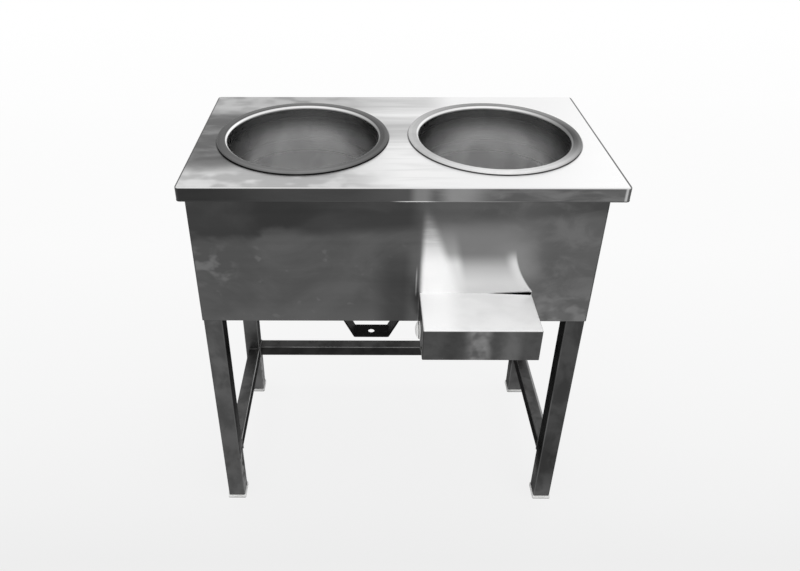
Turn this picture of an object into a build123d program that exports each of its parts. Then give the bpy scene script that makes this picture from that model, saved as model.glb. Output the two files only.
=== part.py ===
from build123d import *
import os

# A two-pot electric bain marie: a stainless water tank on four legs, heated by an immersion element.
# Millimetres. +Z is up, +X is to the right of someone at the control box, +Y runs from there to the rear.
# The origin is on the floor, under the middle of the whole outline.

os.makedirs("parts", exist_ok=True)

# Driving dimensions of the table
top_length = 813.0
top_depth = 445.0
table_height = 864.0
top_sheet = 1.5
turn_down = 28.5
top_corner = 8.0
top_bend = 2.5
overhang_left = 10.0
overhang_right = 27.0
overhang_front = 24.0
overhang_rear = 24.0

# Driving dimensions of the tank, legs and stretchers
wall_bottom = 546.0
wall_sheet = 1.2
floor_rise = 20.0
leg_size = 38.0
leg_wall = 1.5
leg_corner = 3.0
foot_size = 42.0
foot_head = 8.0
foot_plug = 20.0
foot_plug_wall = 4.0
foot_play = 0.1
foot_edge = 1.5
bar_size = 30.0
bar_wall = 1.5
bar_corner = 2.5
bar_top = 157.0

# Driving dimensions of the pots
pot_spacing = 388.0
pot_radius = 152.0
pot_rim_radius = 174.0
pot_depth = 200.0
pot_sheet = 1.2
pot_bead = 2.3
pot_rim_bend = 8.0
pot_corner = 30.0
pot_seat_gap = 0.1
cutout_radius = 160.0

# Driving dimensions of the hanger strap
strap_x = -52.5
strap_bottom = 353.0
strap_width = 42.0
strap_sheet = 4.0
strap_flat = 82.0
strap_slope = 0.485
strap_foot = 36.0
strap_bend = 5.0
strap_hole_radius = 8.0
stud_radius = 4.0
stud_length = 16.0
stud_clearance = 0.3
stud_nut_flats = 13.0
stud_nut_height = 6.5

# Driving dimensions of the control box
box_left = 40.0
box_right = 261.0
box_reach = 115.5
box_height = 70.0
box_sheet = 1.2
box_edge = 2.5
box_play = 0.3
tray_lift = 1.0
tray_headroom = 4.0
box_gap_length = 88.0
box_gap_depth = 6.0

# Driving dimensions of the knob and thermostat
knob_drop = 10.5
knob_radius = 17.0
knob_edge = 2.2
knob_reach = 10.0
knob_gap = 0.8
knob_recess_radius = 9.5
knob_recess = 4.7
pointer_width = 3.0
pointer_start = 4.0
pointer_length = 10.0
pointer_height = 1.0
spindle_radius = 3.0
spindle_length = 32.0
spindle_play = 0.05
bush_radius = 5.0
bush_reach = 3.5
bush_nut_flats = 14.0
bush_nut_height = 3.0
thermostat_size = (36.0, 48.0, 40.0)
thermostat_rise = 6.0

# Driving dimensions of the heater, sensor and wiring
heater_x = 175.0
heater_z = 590.0
heater_shank_radius = 16.6
heater_flats = 41.0
heater_head_depth = 12.0
heater_nut_depth = 8.0
heater_shank_reach = 14.0
gasket_depth = 1.5
gasket_radius = 20.0
element_radius = 4.25
element_half_pitch = 9.0
element_reach = 300.0
element_insert = 6.0
terminal_radius = 2.5
terminal_length = 18.0
terminal_bead_radius = 4.5
terminal_bead_length = 6.0
hole_play = 0.1
pocket_x = 120.0
pocket_radius = 5.0
pocket_bore = 3.7
pocket_reach = 115.0
pocket_mouth = 6.0
pocket_flange_radius = 9.0
pocket_flange = 1.5
bulb_radius = 3.5
bulb_start = 2.0
bulb_length = 108.0
capillary_radius = 1.2
capillary_bend = 14.0
capillary_out = 42.0
block_low_x = 206.0
block_size = (42.0, 24.0, 20.0)
block_front = 98.0
block_pitch = 14.0
block_screw_radius = 3.0
block_screw_depth = 5.0
lead_radius = 1.6
lead_z = 563.0
live_out = 10.0
switched_out = 54.0
neutral_out = 16.0
neutral_tail = 17.0
earth_out = 18.0
earth_tail = 20.0
lead_bend = 8.0
switched_bend = 16.0
earth_bend = 20.0
earth_z = 575.0
earth_radius = 2.5
earth_length = 14.8
tray_stud_x = (95.0, 240.0)
tray_stud_z = 600.0
tray_stud_radius = 2.5
tray_stud_length = 12.0
tray_nut_flats = 8.0
tray_nut_height = 4.0
cover_screw_radius = 2.0
cover_screw_length = 8.0
cover_screw_head = 3.8
cover_screw_head_height = 2.2
cover_screw_z = 556.0
cover_screw_out = (20.0, 95.0)
gland_x = 215.0
gland_out = 28.0
gland_thread_radius = 8.0
gland_bore = 4.2
gland_flats = 22.0
gland_nut_height = 5.0
gland_body_height = 9.0
gland_dome_radius = 10.0
gland_dome_height = 14.0
gland_dome_edge = 3.0

# Driving dimensions of the drain
drain_x = -250.0
drain_out = 100.0
spud_radius = 13.0
spud_bore = 8.0
spud_flange_radius = 21.0
spud_flange = 2.0
spud_bottom = 536.0
washer_height = 3.0
washer_radius = 19.0
spud_nut_flats = 36.0
spud_nut_height = 7.0
valve_z = 508.0
valve_flats = 34.0
valve_socket = 12.0
valve_radius = 19.0
valve_roof = 1.2
chamber_radius = 15.0
chamber_half = 16.0
ball_radius = 13.0
ball_play = 0.05
ball_slot = (4.0, 10.0, 3.0)
seat_start = 6.0
tail_insert = 8.0
tail_flats_height = 10.0
nozzle_radius = 10.0
nozzle_length = 34.0
boss_radius = 9.0
boss_reach = 32.0
stem_radius = 5.0
stem_start = 13.2
stem_shoulder = 38.0
stem_thread_radius = 3.0
stem_end = 47.0
tongue_length = 8.0
lever_sheet = 3.0
lever_width = 12.0
lever_length = 92.0
lever_nut_flats = 10.0
lever_nut_height = 5.0
grip_length = 55.0
grip_wall = 2.5
grip_corner = 5.0

# Places worked out from the driving dimensions
table_y = (box_reach - overhang_front) / 2
wall_left = overhang_left - top_length / 2
wall_right = top_length / 2 - overhang_right
wall_front = table_y - top_depth / 2 + overhang_front
wall_rear = table_y + top_depth / 2 - overhang_rear
wall_top = table_height - top_sheet
wall_width = wall_right - wall_left
wall_depth = wall_rear - wall_front
wall_x = (wall_left + wall_right) / 2
wall_y = (wall_front + wall_rear) / 2
wall_z = (wall_bottom + wall_top) / 2
wall_height = wall_top - wall_bottom
tank_under = wall_bottom + floor_rise
tank_floor_top = tank_under + wall_sheet
leg_left_x = wall_left + wall_sheet + leg_size / 2
leg_right_x = wall_right - wall_sheet - leg_size / 2
leg_front_y = wall_front + wall_sheet + leg_size / 2
leg_rear_y = wall_rear - wall_sheet - leg_size / 2
tube_bore = leg_size - 2 * leg_wall
plug_size = tube_bore - 2 * foot_play
plug_bore = plug_size - 2 * foot_plug_wall
bar_z = bar_top - bar_size / 2
bar_bore = bar_size - 2 * bar_wall
side_bar_inset = (leg_size - bar_size) / 2
pot_places = {"left": -pot_spacing / 2, "right": pot_spacing / 2}
box_front = wall_front - box_reach
box_top = wall_bottom + box_height
tray_left = box_left + box_sheet + box_play
tray_right = box_right - box_sheet - box_play
tray_front = box_front + box_sheet + box_play
tray_bottom = wall_bottom + tray_lift
tray_top = box_top - box_sheet - tray_headroom
tray_floor = tray_bottom + box_sheet
tray_back = wall_front - box_sheet
tray_stud_places = [(x, tray_stud_z) for x in tray_stud_x]
knob_y = wall_front - box_reach / 2
knob_z = wall_bottom + box_height / 2 - knob_drop
thermostat_left = tray_left + box_sheet
thermostat_right = thermostat_left + thermostat_size[0]
bush_end = box_left - bush_reach
knob_back = box_left - knob_gap
knob_dome_base = knob_back - knob_edge
knob_dome = knob_reach - knob_gap - knob_edge
heater_head_back = tray_back - gasket_depth
heater_head_front = heater_head_back - heater_head_depth
terminal_end = heater_head_front - terminal_length
drain_y = table_y + drain_out


def hand_in(piece, name):
    """Label a finished piece and write it under its own name."""
    piece.part.label = name
    export_step(piece.part, f"parts/{name}.step")


# Top plate: one sheet folded down on four sides, with a round cut-out for each pot
with BuildPart() as top_plate:
    with BuildSketch(Plane.XY.offset(table_height)):
        with Locations((0, table_y)):
            RectangleRounded(top_length, top_depth, top_corner)
    extrude(amount=-turn_down)
    fillet(top_plate.faces().sort_by(Axis.Z)[-1].edges(), top_bend)
    with BuildSketch(Plane.XY.offset(wall_top)):
        with Locations((0, table_y)):
            RectangleRounded(top_length - 2 * top_sheet, top_depth - 2 * top_sheet, top_corner - top_sheet)
    extrude(amount=-turn_down, mode=Mode.SUBTRACT)
    with BuildSketch(Plane.XY.offset(table_height)):
        with Locations(*[(x, table_y) for x in pot_places.values()]):
            Circle(cutout_radius)
    extrude(amount=-turn_down, mode=Mode.SUBTRACT)
hand_in(top_plate, "top_plate")

# Front wall of the tank, with its holes for the heater and the sensor pocket
with BuildPart() as front_wall:
    with BuildSketch(Plane.XZ.offset(-wall_front)):
        with Locations((wall_x, wall_z)):
            Rectangle(wall_width, wall_height)
        with Locations((heater_x, heater_z)):
            Circle(heater_shank_radius + hole_play, mode=Mode.SUBTRACT)
        with Locations((pocket_x, heater_z)):
            Circle(pocket_radius + hole_play, mode=Mode.SUBTRACT)
    extrude(amount=-wall_sheet)
hand_in(front_wall, "front_wall")

# Rear wall
with BuildPart() as rear_wall:
    with BuildSketch(Plane.XZ.offset(-wall_rear)):
        with Locations((wall_x, wall_z)):
            Rectangle(wall_width, wall_height)
    extrude(amount=wall_sheet)
hand_in(rear_wall, "rear_wall")

# Side walls, between the front and rear walls
for side, outer_x, inward in (("left", wall_left, wall_sheet), ("right", wall_right, -wall_sheet)):
    with BuildPart() as side_wall:
        with BuildSketch(Plane.YZ.offset(outer_x)):
            with Locations((wall_y, wall_z)):
                Rectangle(wall_depth - 2 * wall_sheet, wall_height)
        extrude(amount=inward)
    hand_in(side_wall, f"{side}_wall")

# Tank floor, welded between the walls a little above their lower edge
with BuildPart() as tank_floor:
    with BuildSketch(Plane.XY.offset(tank_under)):
        with Locations((wall_x, wall_y)):
            Rectangle(wall_width - 2 * wall_sheet, wall_depth - 2 * wall_sheet)
        with Locations((drain_x, drain_y)):
            Circle(spud_radius + hole_play, mode=Mode.SUBTRACT)
    extrude(amount=wall_sheet)
hand_in(tank_floor, "tank_floor")

# Legs and foot caps: square tubes up to the tank floor, each standing on a plugged-in cap
for side, leg_x in (("left", leg_left_x), ("right", leg_right_x)):
    for end, leg_y in (("front", leg_front_y), ("rear", leg_rear_y)):
        with BuildPart() as leg:
            with BuildSketch(Plane.XY.offset(foot_head)):
                with Locations((leg_x, leg_y)):
                    RectangleRounded(leg_size, leg_size, leg_corner)
                    RectangleRounded(tube_bore, tube_bore, leg_corner - leg_wall, mode=Mode.SUBTRACT)
            extrude(amount=tank_under - foot_head)
        hand_in(leg, f"{end}_{side}_leg")

        with BuildPart() as foot:
            with BuildSketch(Plane.XY):
                with Locations((leg_x, leg_y)):
                    RectangleRounded(foot_size, foot_size, leg_corner)
            extrude(amount=foot_head)
            fillet(foot.faces().sort_by(Axis.Z)[-1].edges(), foot_edge)
            with BuildSketch(Plane.XY.offset(foot_head)):
                with Locations((leg_x, leg_y)):
                    RectangleRounded(plug_size, plug_size, leg_corner - leg_wall)
                    Rectangle(plug_bore, plug_bore, mode=Mode.SUBTRACT)
            extrude(amount=foot_plug)
        hand_in(foot, f"{end}_{side}_foot")

# Side stretchers, flush with the inner faces of the legs
for side, bar_x in (("left", leg_left_x + side_bar_inset), ("right", leg_right_x - side_bar_inset)):
    with BuildPart() as side_bar:
        with BuildSketch(Plane.XZ.offset(-leg_front_y - leg_size / 2)):
            with Locations((bar_x, bar_z)):
                RectangleRounded(bar_size, bar_size, bar_corner)
                RectangleRounded(bar_bore, bar_bore, bar_corner - bar_wall, mode=Mode.SUBTRACT)
        extrude(amount=leg_front_y - leg_rear_y + leg_size)
    hand_in(side_bar, f"{side}_stretcher")

# Cross stretcher, between the rear legs and flush with their rear faces
with BuildPart() as cross_bar:
    with BuildSketch(Plane.YZ.offset(leg_left_x + leg_size / 2)):
        with Locations((leg_rear_y + side_bar_inset, bar_z)):
            RectangleRounded(bar_size, bar_size, bar_corner)
            RectangleRounded(bar_bore, bar_bore, bar_corner - bar_wall, mode=Mode.SUBTRACT)
    extrude(amount=leg_right_x - leg_left_x - leg_size)
hand_in(cross_bar, "cross_stretcher")

# Pots: spun sheet with a flange that ends in a rolled bead, which rests on the top plate
rim_top = table_height + pot_seat_gap + 2 * pot_bead
bead_centre = pot_rim_radius - pot_bead
pot_floor = rim_top - pot_depth
for side, pot_x in pot_places.items():
    pot_plane = Plane(origin=(pot_x, table_y, 0), x_dir=(1, 0, 0), z_dir=(0, -1, 0))
    with BuildPart() as pot:
        with BuildSketch(pot_plane):
            with BuildLine():
                inner = FilletPolyline(
                    (bead_centre, rim_top),
                    (pot_radius, rim_top),
                    (pot_radius, pot_floor),
                    (0, pot_floor),
                    radius=[pot_rim_bend, pot_corner],
                )
                outer = FilletPolyline(
                    (bead_centre, rim_top - pot_sheet),
                    (pot_radius + pot_sheet, rim_top - pot_sheet),
                    (pot_radius + pot_sheet, pot_floor - pot_sheet),
                    (0, pot_floor - pot_sheet),
                    radius=[pot_rim_bend - pot_sheet, pot_corner + pot_sheet],
                )
                Line(inner @ 0, outer @ 0)
                Line(inner @ 1, outer @ 1)
            make_face()
            with Locations((bead_centre, rim_top - pot_bead)):
                Circle(pot_bead)
        revolve(axis=Axis((pot_x, table_y, 0), (0, 0, 1)))
    hand_in(pot, f"{side}_pot")

# Hanger strap: a flat bar bent like a hat, bolted under the tank floor
strap_top_half = strap_flat / 2 + strap_slope * (tank_under - strap_bottom)
strap_end = strap_top_half + strap_foot
strap_foot_z = tank_under - strap_sheet
stud_half = strap_end - strap_foot / 2
stud_places = [(strap_x - stud_half, table_y), (strap_x + stud_half, table_y)]
with BuildPart() as hanger_strap:
    with BuildSketch(Plane.XZ.offset(-table_y)):
        with BuildLine():
            FilletPolyline(
                (strap_x - strap_end, strap_foot_z),
                (strap_x - strap_top_half, strap_foot_z),
                (strap_x - strap_flat / 2, strap_bottom),
                (strap_x + strap_flat / 2, strap_bottom),
                (strap_x + strap_top_half, strap_foot_z),
                (strap_x + strap_end, strap_foot_z),
                radius=[strap_bend - strap_sheet, strap_bend, strap_bend, strap_bend - strap_sheet],
            )
            offset(amount=strap_sheet, side=Side.LEFT)
        make_face()
    extrude(amount=strap_width / 2, both=True)
    with BuildSketch(Plane.XY.offset(strap_bottom)):
        with Locations((strap_x, table_y)):
            Circle(strap_hole_radius)
    extrude(amount=strap_sheet, mode=Mode.SUBTRACT)
    with BuildSketch(Plane.XY.offset(tank_under)):
        with Locations(*stud_places):
            Circle(stud_radius + stud_clearance)
    extrude(amount=-strap_sheet, mode=Mode.SUBTRACT)
hand_in(hanger_strap, "hanger_strap")

# Studs welded under the tank floor, and the nuts that hold the strap on them
with BuildPart() as hanger_studs:
    with BuildSketch(Plane.XY.offset(tank_under)):
        with Locations(*stud_places):
            Circle(stud_radius)
    extrude(amount=-stud_length)
hand_in(hanger_studs, "hanger_studs")

with BuildPart() as hanger_nuts:
    with BuildSketch(Plane.XY.offset(strap_foot_z)):
        with Locations(*stud_places):
            RegularPolygon(stud_nut_flats / 2, 6, major_radius=False)
            Circle(stud_radius, mode=Mode.SUBTRACT)
    extrude(amount=-stud_nut_height)
hand_in(hanger_nuts, "hanger_nuts")

# Control cover: a folded sheet, open below and behind, whose top leaves the wall at its right end
cover_width = box_right - box_left
cover_x = (box_left + box_right) / 2
cover_screw_places = [(wall_front - out, cover_screw_z) for out in cover_screw_out]
with BuildPart() as control_cover:
    with BuildSketch(Plane.XY.offset(wall_bottom)):
        with Locations((cover_x, wall_front)):
            Rectangle(cover_width, box_reach, align=(Align.CENTER, Align.MAX))
    extrude(amount=box_height)
    front_folds = control_cover.edges().filter_by(Axis.Z).sort_by(Axis.Y)[:2]
    top_folds = control_cover.edges().group_by(Axis.Z)[-1].sort_by(Axis.Y)[:-1]
    fillet(front_folds + top_folds, box_edge)
    with BuildSketch(Plane.XY.offset(wall_bottom)):
        with Locations((cover_x, wall_front)):
            Rectangle(cover_width - 2 * box_sheet, box_reach - box_sheet, align=(Align.CENTER, Align.MAX))
    extrude(amount=box_height - box_sheet, mode=Mode.SUBTRACT)
    with BuildSketch(Plane.XY.offset(box_top)):
        with BuildLine():
            Polyline(
                (box_right, wall_front),
                (box_right - box_gap_length, wall_front),
                (box_right, wall_front - box_gap_depth),
                close=True,
            )
        make_face()
    extrude(amount=-box_edge, mode=Mode.SUBTRACT)
    with BuildSketch(Plane.YZ.offset(box_left)):
        with Locations((knob_y, knob_z)):
            Circle(bush_radius + hole_play)
    extrude(amount=box_sheet, mode=Mode.SUBTRACT)
    with BuildSketch(Plane.YZ.offset(box_left)):
        with Locations(*cover_screw_places):
            Circle(cover_screw_radius + hole_play)
    extrude(amount=cover_width, mode=Mode.SUBTRACT)
hand_in(control_cover, "control_cover")

# Control tray: floor, back and two side flanges inside the cover, open at its front and top
with BuildPart() as control_tray:
    with BuildSketch(Plane.XY.offset(tray_bottom)):
        with Locations((cover_x, wall_front)):
            Rectangle(tray_right - tray_left, wall_front - tray_front, align=(Align.CENTER, Align.MAX))
    extrude(amount=tray_top - tray_bottom)
    with BuildSketch(Plane.XY.offset(tray_floor)):
        with Locations((cover_x, tray_back)):
            Rectangle(tray_right - tray_left - 2 * box_sheet, box_reach, align=(Align.CENTER, Align.MAX))
    extrude(amount=box_height, mode=Mode.SUBTRACT)
    with BuildSketch(Plane.XZ.offset(-wall_front)):
        with Locations((heater_x, heater_z)):
            Circle(heater_shank_radius + hole_play)
        with Locations((pocket_x, heater_z)):
            Circle(pocket_radius + hole_play)
        with Locations(*tray_stud_places):
            Circle(tray_stud_radius + hole_play)
    extrude(amount=box_sheet, mode=Mode.SUBTRACT)
    with BuildSketch(Plane.YZ.offset(tray_left)):
        with Locations((knob_y, knob_z)):
            Circle(bush_radius + hole_play)
    extrude(amount=box_sheet, mode=Mode.SUBTRACT)
    with BuildSketch(Plane.YZ.offset(tray_left)):
        with Locations(*cover_screw_places):
            Circle(cover_screw_radius)
    extrude(amount=tray_right - tray_left, mode=Mode.SUBTRACT)
    with BuildSketch(Plane.XY.offset(tray_bottom)):
        with Locations((gland_x, wall_front - gland_out)):
            Circle(gland_thread_radius + hole_play)
    extrude(amount=box_sheet, mode=Mode.SUBTRACT)
hand_in(control_tray, "control_tray")

# Studs on the front wall that carry the tray, and their nuts
with BuildPart() as tray_studs:
    with BuildSketch(Plane.XZ.offset(-wall_front)):
        with Locations(*tray_stud_places):
            Circle(tray_stud_radius)
    extrude(amount=tray_stud_length)
hand_in(tray_studs, "tray_studs")

with BuildPart() as tray_nuts:
    with BuildSketch(Plane.XZ.offset(-tray_back)):
        with Locations(*tray_stud_places):
            RegularPolygon(tray_nut_flats / 2, 6, major_radius=False)
            Circle(tray_stud_radius, mode=Mode.SUBTRACT)
    extrude(amount=tray_nut_height)
hand_in(tray_nuts, "tray_nuts")

# Screws through the cover's sides into the tray's flanges
with BuildPart() as cover_screws:
    for face_x, inward in ((box_left, 1), (box_right, -1)):
        with BuildSketch(Plane.YZ.offset(face_x)):
            with Locations(*cover_screw_places):
                Circle(cover_screw_radius)
        extrude(amount=inward * cover_screw_length)
        with BuildSketch(Plane.YZ.offset(face_x)):
            with Locations(*cover_screw_places):
                Circle(cover_screw_head)
        extrude(amount=-inward * cover_screw_head_height)
hand_in(cover_screws, "cover_screws")

# Thermostat body with its threaded bush, bored for the spindle
spindle_inner = box_left - knob_reach + spindle_length
with BuildPart() as thermostat_body:
    with BuildSketch(Plane.YZ.offset(thermostat_left)):
        with Locations((knob_y, knob_z + thermostat_rise)):
            Rectangle(thermostat_size[1], thermostat_size[2])
    extrude(amount=thermostat_size[0])
    with BuildSketch(Plane.YZ.offset(bush_end)):
        with Locations((knob_y, knob_z)):
            Circle(bush_radius)
    extrude(amount=thermostat_left - bush_end)
    with BuildSketch(Plane.YZ.offset(bush_end)):
        with Locations((knob_y, knob_z)):
            Circle(spindle_radius + spindle_play)
    extrude(amount=spindle_inner - bush_end + knob_gap, mode=Mode.SUBTRACT)
hand_in(thermostat_body, "thermostat_body")

# Ring nut on the bush, under the knob
with BuildPart() as thermostat_nut:
    with BuildSketch(Plane.YZ.offset(box_left)):
        with Locations((knob_y, knob_z)):
            RegularPolygon(bush_nut_flats / 2, 6, major_radius=False)
            Circle(bush_radius, mode=Mode.SUBTRACT)
    extrude(amount=-bush_nut_height)
hand_in(thermostat_nut, "thermostat_nut")

# Spindle, turned by the knob inside the bush
spindle_outer = knob_back - knob_recess - (knob_reach - knob_gap - knob_recess) / 2
with BuildPart() as thermostat_spindle:
    with BuildSketch(Plane.YZ.offset(spindle_outer)):
        with Locations((knob_y, knob_z)):
            Circle(spindle_radius)
    extrude(amount=spindle_inner - spindle_outer)
hand_in(thermostat_spindle, "thermostat_spindle")

# Ridge that points from the middle of the knob to its edge: a strip of a slightly higher dome
knob_plane = Plane(origin=(0, knob_y, knob_z), x_dir=(1, 0, 0), z_dir=(0, 0, 1))
knob_axis = Axis((0, knob_y, knob_z), (1, 0, 0))
ridge_dome = knob_dome + pointer_height
with BuildPart() as knob_ridge:
    with BuildSketch(knob_plane):
        with BuildLine():
            ridge_arc = EllipticalCenterArc((knob_dome_base, 0), ridge_dome, knob_radius, 90, arc_size=90)
            Polyline(ridge_arc @ 1, (knob_dome_base, 0), ridge_arc @ 0)
        make_face()
    revolve(axis=knob_axis)
    with BuildSketch(Plane.YZ.offset(knob_dome_base)):
        with Locations((knob_y, knob_z + pointer_start)):
            Rectangle(pointer_width, pointer_length, align=(Align.CENTER, Align.MIN))
    extrude(amount=-ridge_dome, mode=Mode.INTERSECT)

# Knob: a flat dome with the ridge on it, hollow behind for the ring nut
with BuildPart() as thermostat_knob:
    with BuildSketch(knob_plane):
        with BuildLine():
            dome_arc = EllipticalCenterArc((knob_dome_base, 0), knob_dome, knob_radius, 90, arc_size=90)
            Polyline(dome_arc @ 1, (knob_back, 0), (knob_back, knob_radius), dome_arc @ 0)
        make_face()
    revolve(axis=knob_axis)
    add(knob_ridge.part)
    with BuildSketch(Plane.YZ.offset(knob_back)):
        with Locations((knob_y, knob_z)):
            Circle(knob_recess_radius)
    extrude(amount=-knob_recess, mode=Mode.SUBTRACT)
    with BuildSketch(Plane.YZ.offset(knob_back)):
        with Locations((knob_y, knob_z)):
            Circle(spindle_radius)
    extrude(amount=spindle_outer - knob_back, mode=Mode.SUBTRACT)
hand_in(thermostat_knob, "thermostat_knob")

# Heater head: a hexagon outside the wall and a threaded shank through it, with blind holes for the element
element_places = [(heater_x - element_half_pitch, heater_z), (heater_x + element_half_pitch, heater_z)]
shank_end = wall_front + heater_shank_reach
with BuildPart() as heater_head:
    with BuildSketch(Plane.XZ.offset(-heater_head_back)):
        with Locations((heater_x, heater_z)):
            RegularPolygon(heater_flats / 2, 6, major_radius=False)
    extrude(amount=heater_head_depth)
    with BuildSketch(Plane.XZ.offset(-heater_head_back)):
        with Locations((heater_x, heater_z)):
            Circle(heater_shank_radius)
    extrude(amount=heater_head_back - shank_end)
    with BuildSketch(Plane.XZ.offset(-shank_end)):
        with Locations(*element_places):
            Circle(element_radius)
    extrude(amount=element_insert, mode=Mode.SUBTRACT)
hand_in(heater_head, "heater_head")

# Gasket between the heater head and the tray, and the back nut inside the tank
with BuildPart() as heater_gasket:
    with BuildSketch(Plane.XZ.offset(-tray_back)):
        with Locations((heater_x, heater_z)):
            Circle(gasket_radius)
            Circle(heater_shank_radius + hole_play, mode=Mode.SUBTRACT)
    extrude(amount=gasket_depth)
hand_in(heater_gasket, "heater_gasket")

with BuildPart() as heater_nut:
    with BuildSketch(Plane.XZ.offset(-wall_front - wall_sheet)):
        with Locations((heater_x, heater_z)):
            RegularPolygon(heater_flats / 2, 6, major_radius=False)
            Circle(heater_shank_radius, mode=Mode.SUBTRACT)
    extrude(amount=-heater_nut_depth)
hand_in(heater_nut, "heater_nut")

# Heating element: one round tube bent into a hairpin along the tank floor
element_start = shank_end - element_insert
element_turn = wall_front + element_reach
with BuildPart() as heater_element:
    with BuildLine(Plane.XY.offset(heater_z)) as hairpin:
        near = Line(
            (heater_x - element_half_pitch, element_start),
            (heater_x - element_half_pitch, element_turn),
        )
        turn = RadiusArc(near @ 1, (heater_x + element_half_pitch, element_turn), element_half_pitch)
        Line(turn @ 1, (heater_x + element_half_pitch, element_start))
    with BuildSketch(Plane.XZ.offset(-element_start)):
        with Locations((heater_x - element_half_pitch, heater_z)):
            Circle(element_radius)
    sweep(path=hairpin.line)
hand_in(heater_element, "heater_element")

# Heater terminals: a stud in an insulating bead for each end of the element
with BuildPart() as heater_terminals:
    with BuildSketch(Plane.XZ.offset(-heater_head_front)):
        with Locations(*element_places):
            Circle(terminal_bead_radius)
    extrude(amount=terminal_bead_length)
    with BuildSketch(Plane.XZ.offset(-heater_head_front)):
        with Locations(*element_places):
            Circle(terminal_radius)
    extrude(amount=terminal_length)
hand_in(heater_terminals, "heater_terminals")

# Sensor pocket: a tube through the front wall, closed inside the tank
with BuildPart() as sensor_pocket:
    with BuildSketch(Plane.XZ.offset(-wall_front + pocket_mouth)):
        with Locations((pocket_x, heater_z)):
            Circle(pocket_radius)
    extrude(amount=-pocket_mouth - pocket_reach)
    with BuildSketch(Plane.XZ.offset(-wall_front - wall_sheet)):
        with Locations((pocket_x, heater_z)):
            Circle(pocket_flange_radius)
    extrude(amount=-pocket_flange)
    with BuildSketch(Plane.XZ.offset(-wall_front + pocket_mouth)):
        with Locations((pocket_x, heater_z)):
            Circle(pocket_bore)
    extrude(amount=pocket_radius - pocket_bore - pocket_mouth - pocket_reach, mode=Mode.SUBTRACT)
hand_in(sensor_pocket, "sensor_pocket")

# Sensor: the bulb in the pocket and the capillary from it to the thermostat
bulb_mouth = wall_front + bulb_start
capillary_y = wall_front - capillary_out
with BuildPart() as thermostat_sensor:
    with BuildSketch(Plane.XZ.offset(-bulb_mouth)):
        with Locations((pocket_x, heater_z)):
            Circle(bulb_radius)
    extrude(amount=-bulb_length)
    with BuildLine() as capillary:
        FilletPolyline(
            (pocket_x, bulb_mouth, heater_z),
            (pocket_x, capillary_y, heater_z),
            (thermostat_right, capillary_y, heater_z),
            radius=capillary_bend,
        )
    with BuildSketch(Plane.XZ.offset(-bulb_mouth)):
        with Locations((pocket_x, heater_z)):
            Circle(capillary_radius)
    sweep(path=capillary.line)
hand_in(thermostat_sensor, "thermostat_sensor")

# Terminal block on the tray's floor, with a screw recess over each way
block_rear = wall_front - block_front + block_size[1]
block_x = block_low_x + block_size[0] / 2
with BuildPart() as terminal_block:
    with BuildSketch(Plane.XY.offset(tray_floor)):
        with Locations((block_x, block_rear)):
            Rectangle(block_size[0], block_size[1], align=(Align.CENTER, Align.MAX))
    extrude(amount=block_size[2])
    with BuildSketch(Plane.XY.offset(tray_floor + block_size[2])):
        with Locations((block_x, block_rear - block_size[1] / 2)):
            with GridLocations(block_pitch, 0, 3, 1):
                Circle(block_screw_radius)
    extrude(amount=-block_screw_depth, mode=Mode.SUBTRACT)
hand_in(terminal_block, "terminal_block")

# Earth stud on the tray's back
earth_x = block_x + block_pitch
with BuildPart() as earth_stud:
    with BuildSketch(Plane.XZ.offset(-tray_back)):
        with Locations((earth_x, earth_z)):
            Circle(earth_radius)
    extrude(amount=earth_length)
hand_in(earth_stud, "earth_stud")

# Leads inside the control box, each meeting its terminal face to face
live_turn_y = block_rear + live_out
switched_y = wall_front - switched_out
neutral_turn_y = block_rear + neutral_out
earth_end = tray_back - earth_length
lead_routes = [
    (
        [
            (block_x - block_pitch, block_rear, lead_z),
            (block_x - block_pitch, live_turn_y, lead_z),
            (thermostat_right, live_turn_y, lead_z),
        ],
        lead_bend,
    ),
    (
        [
            (element_places[0][0], terminal_end, heater_z),
            (element_places[0][0], switched_y, heater_z),
            (thermostat_right, switched_y, heater_z),
        ],
        switched_bend,
    ),
    (
        [
            (block_x, block_rear, lead_z),
            (block_x, neutral_turn_y, lead_z),
            (element_places[1][0], terminal_end - neutral_tail, heater_z),
            (element_places[1][0], terminal_end, heater_z),
        ],
        lead_bend,
    ),
    (
        [
            (earth_x, block_rear, lead_z),
            (earth_x, block_rear + earth_out, lead_z),
            (earth_x, earth_end - earth_tail, earth_z),
            (earth_x, earth_end, earth_z),
        ],
        earth_bend,
    ),
]
with BuildPart() as control_leads:
    for points, bend in lead_routes:
        with BuildLine() as route:
            FilletPolyline(*points, radius=bend)
        with BuildSketch(Plane(origin=route.line @ 0, z_dir=route.line % 0)):
            Circle(lead_radius)
        sweep(path=route.line)
hand_in(control_leads, "control_leads")

# Cable gland under the tray: the body through its floor, a lock nut above and a dome nut below
gland_place = (gland_x, wall_front - gland_out)
gland_body_bottom = tray_bottom - gland_body_height
with BuildPart() as gland_body:
    with BuildSketch(Plane.XY.offset(tray_bottom)):
        with Locations(gland_place):
            RegularPolygon(gland_flats / 2, 6, major_radius=False)
            Circle(gland_bore, mode=Mode.SUBTRACT)
    extrude(amount=-gland_body_height)
    with BuildSketch(Plane.XY.offset(tray_bottom)):
        with Locations(gland_place):
            Circle(gland_thread_radius)
            Circle(gland_bore, mode=Mode.SUBTRACT)
    extrude(amount=box_sheet + gland_nut_height)
hand_in(gland_body, "gland_body")

with BuildPart() as gland_lock_nut:
    with BuildSketch(Plane.XY.offset(tray_floor)):
        with Locations(gland_place):
            RegularPolygon(gland_flats / 2, 6, major_radius=False)
            Circle(gland_thread_radius, mode=Mode.SUBTRACT)
    extrude(amount=gland_nut_height)
hand_in(gland_lock_nut, "gland_lock_nut")

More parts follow.
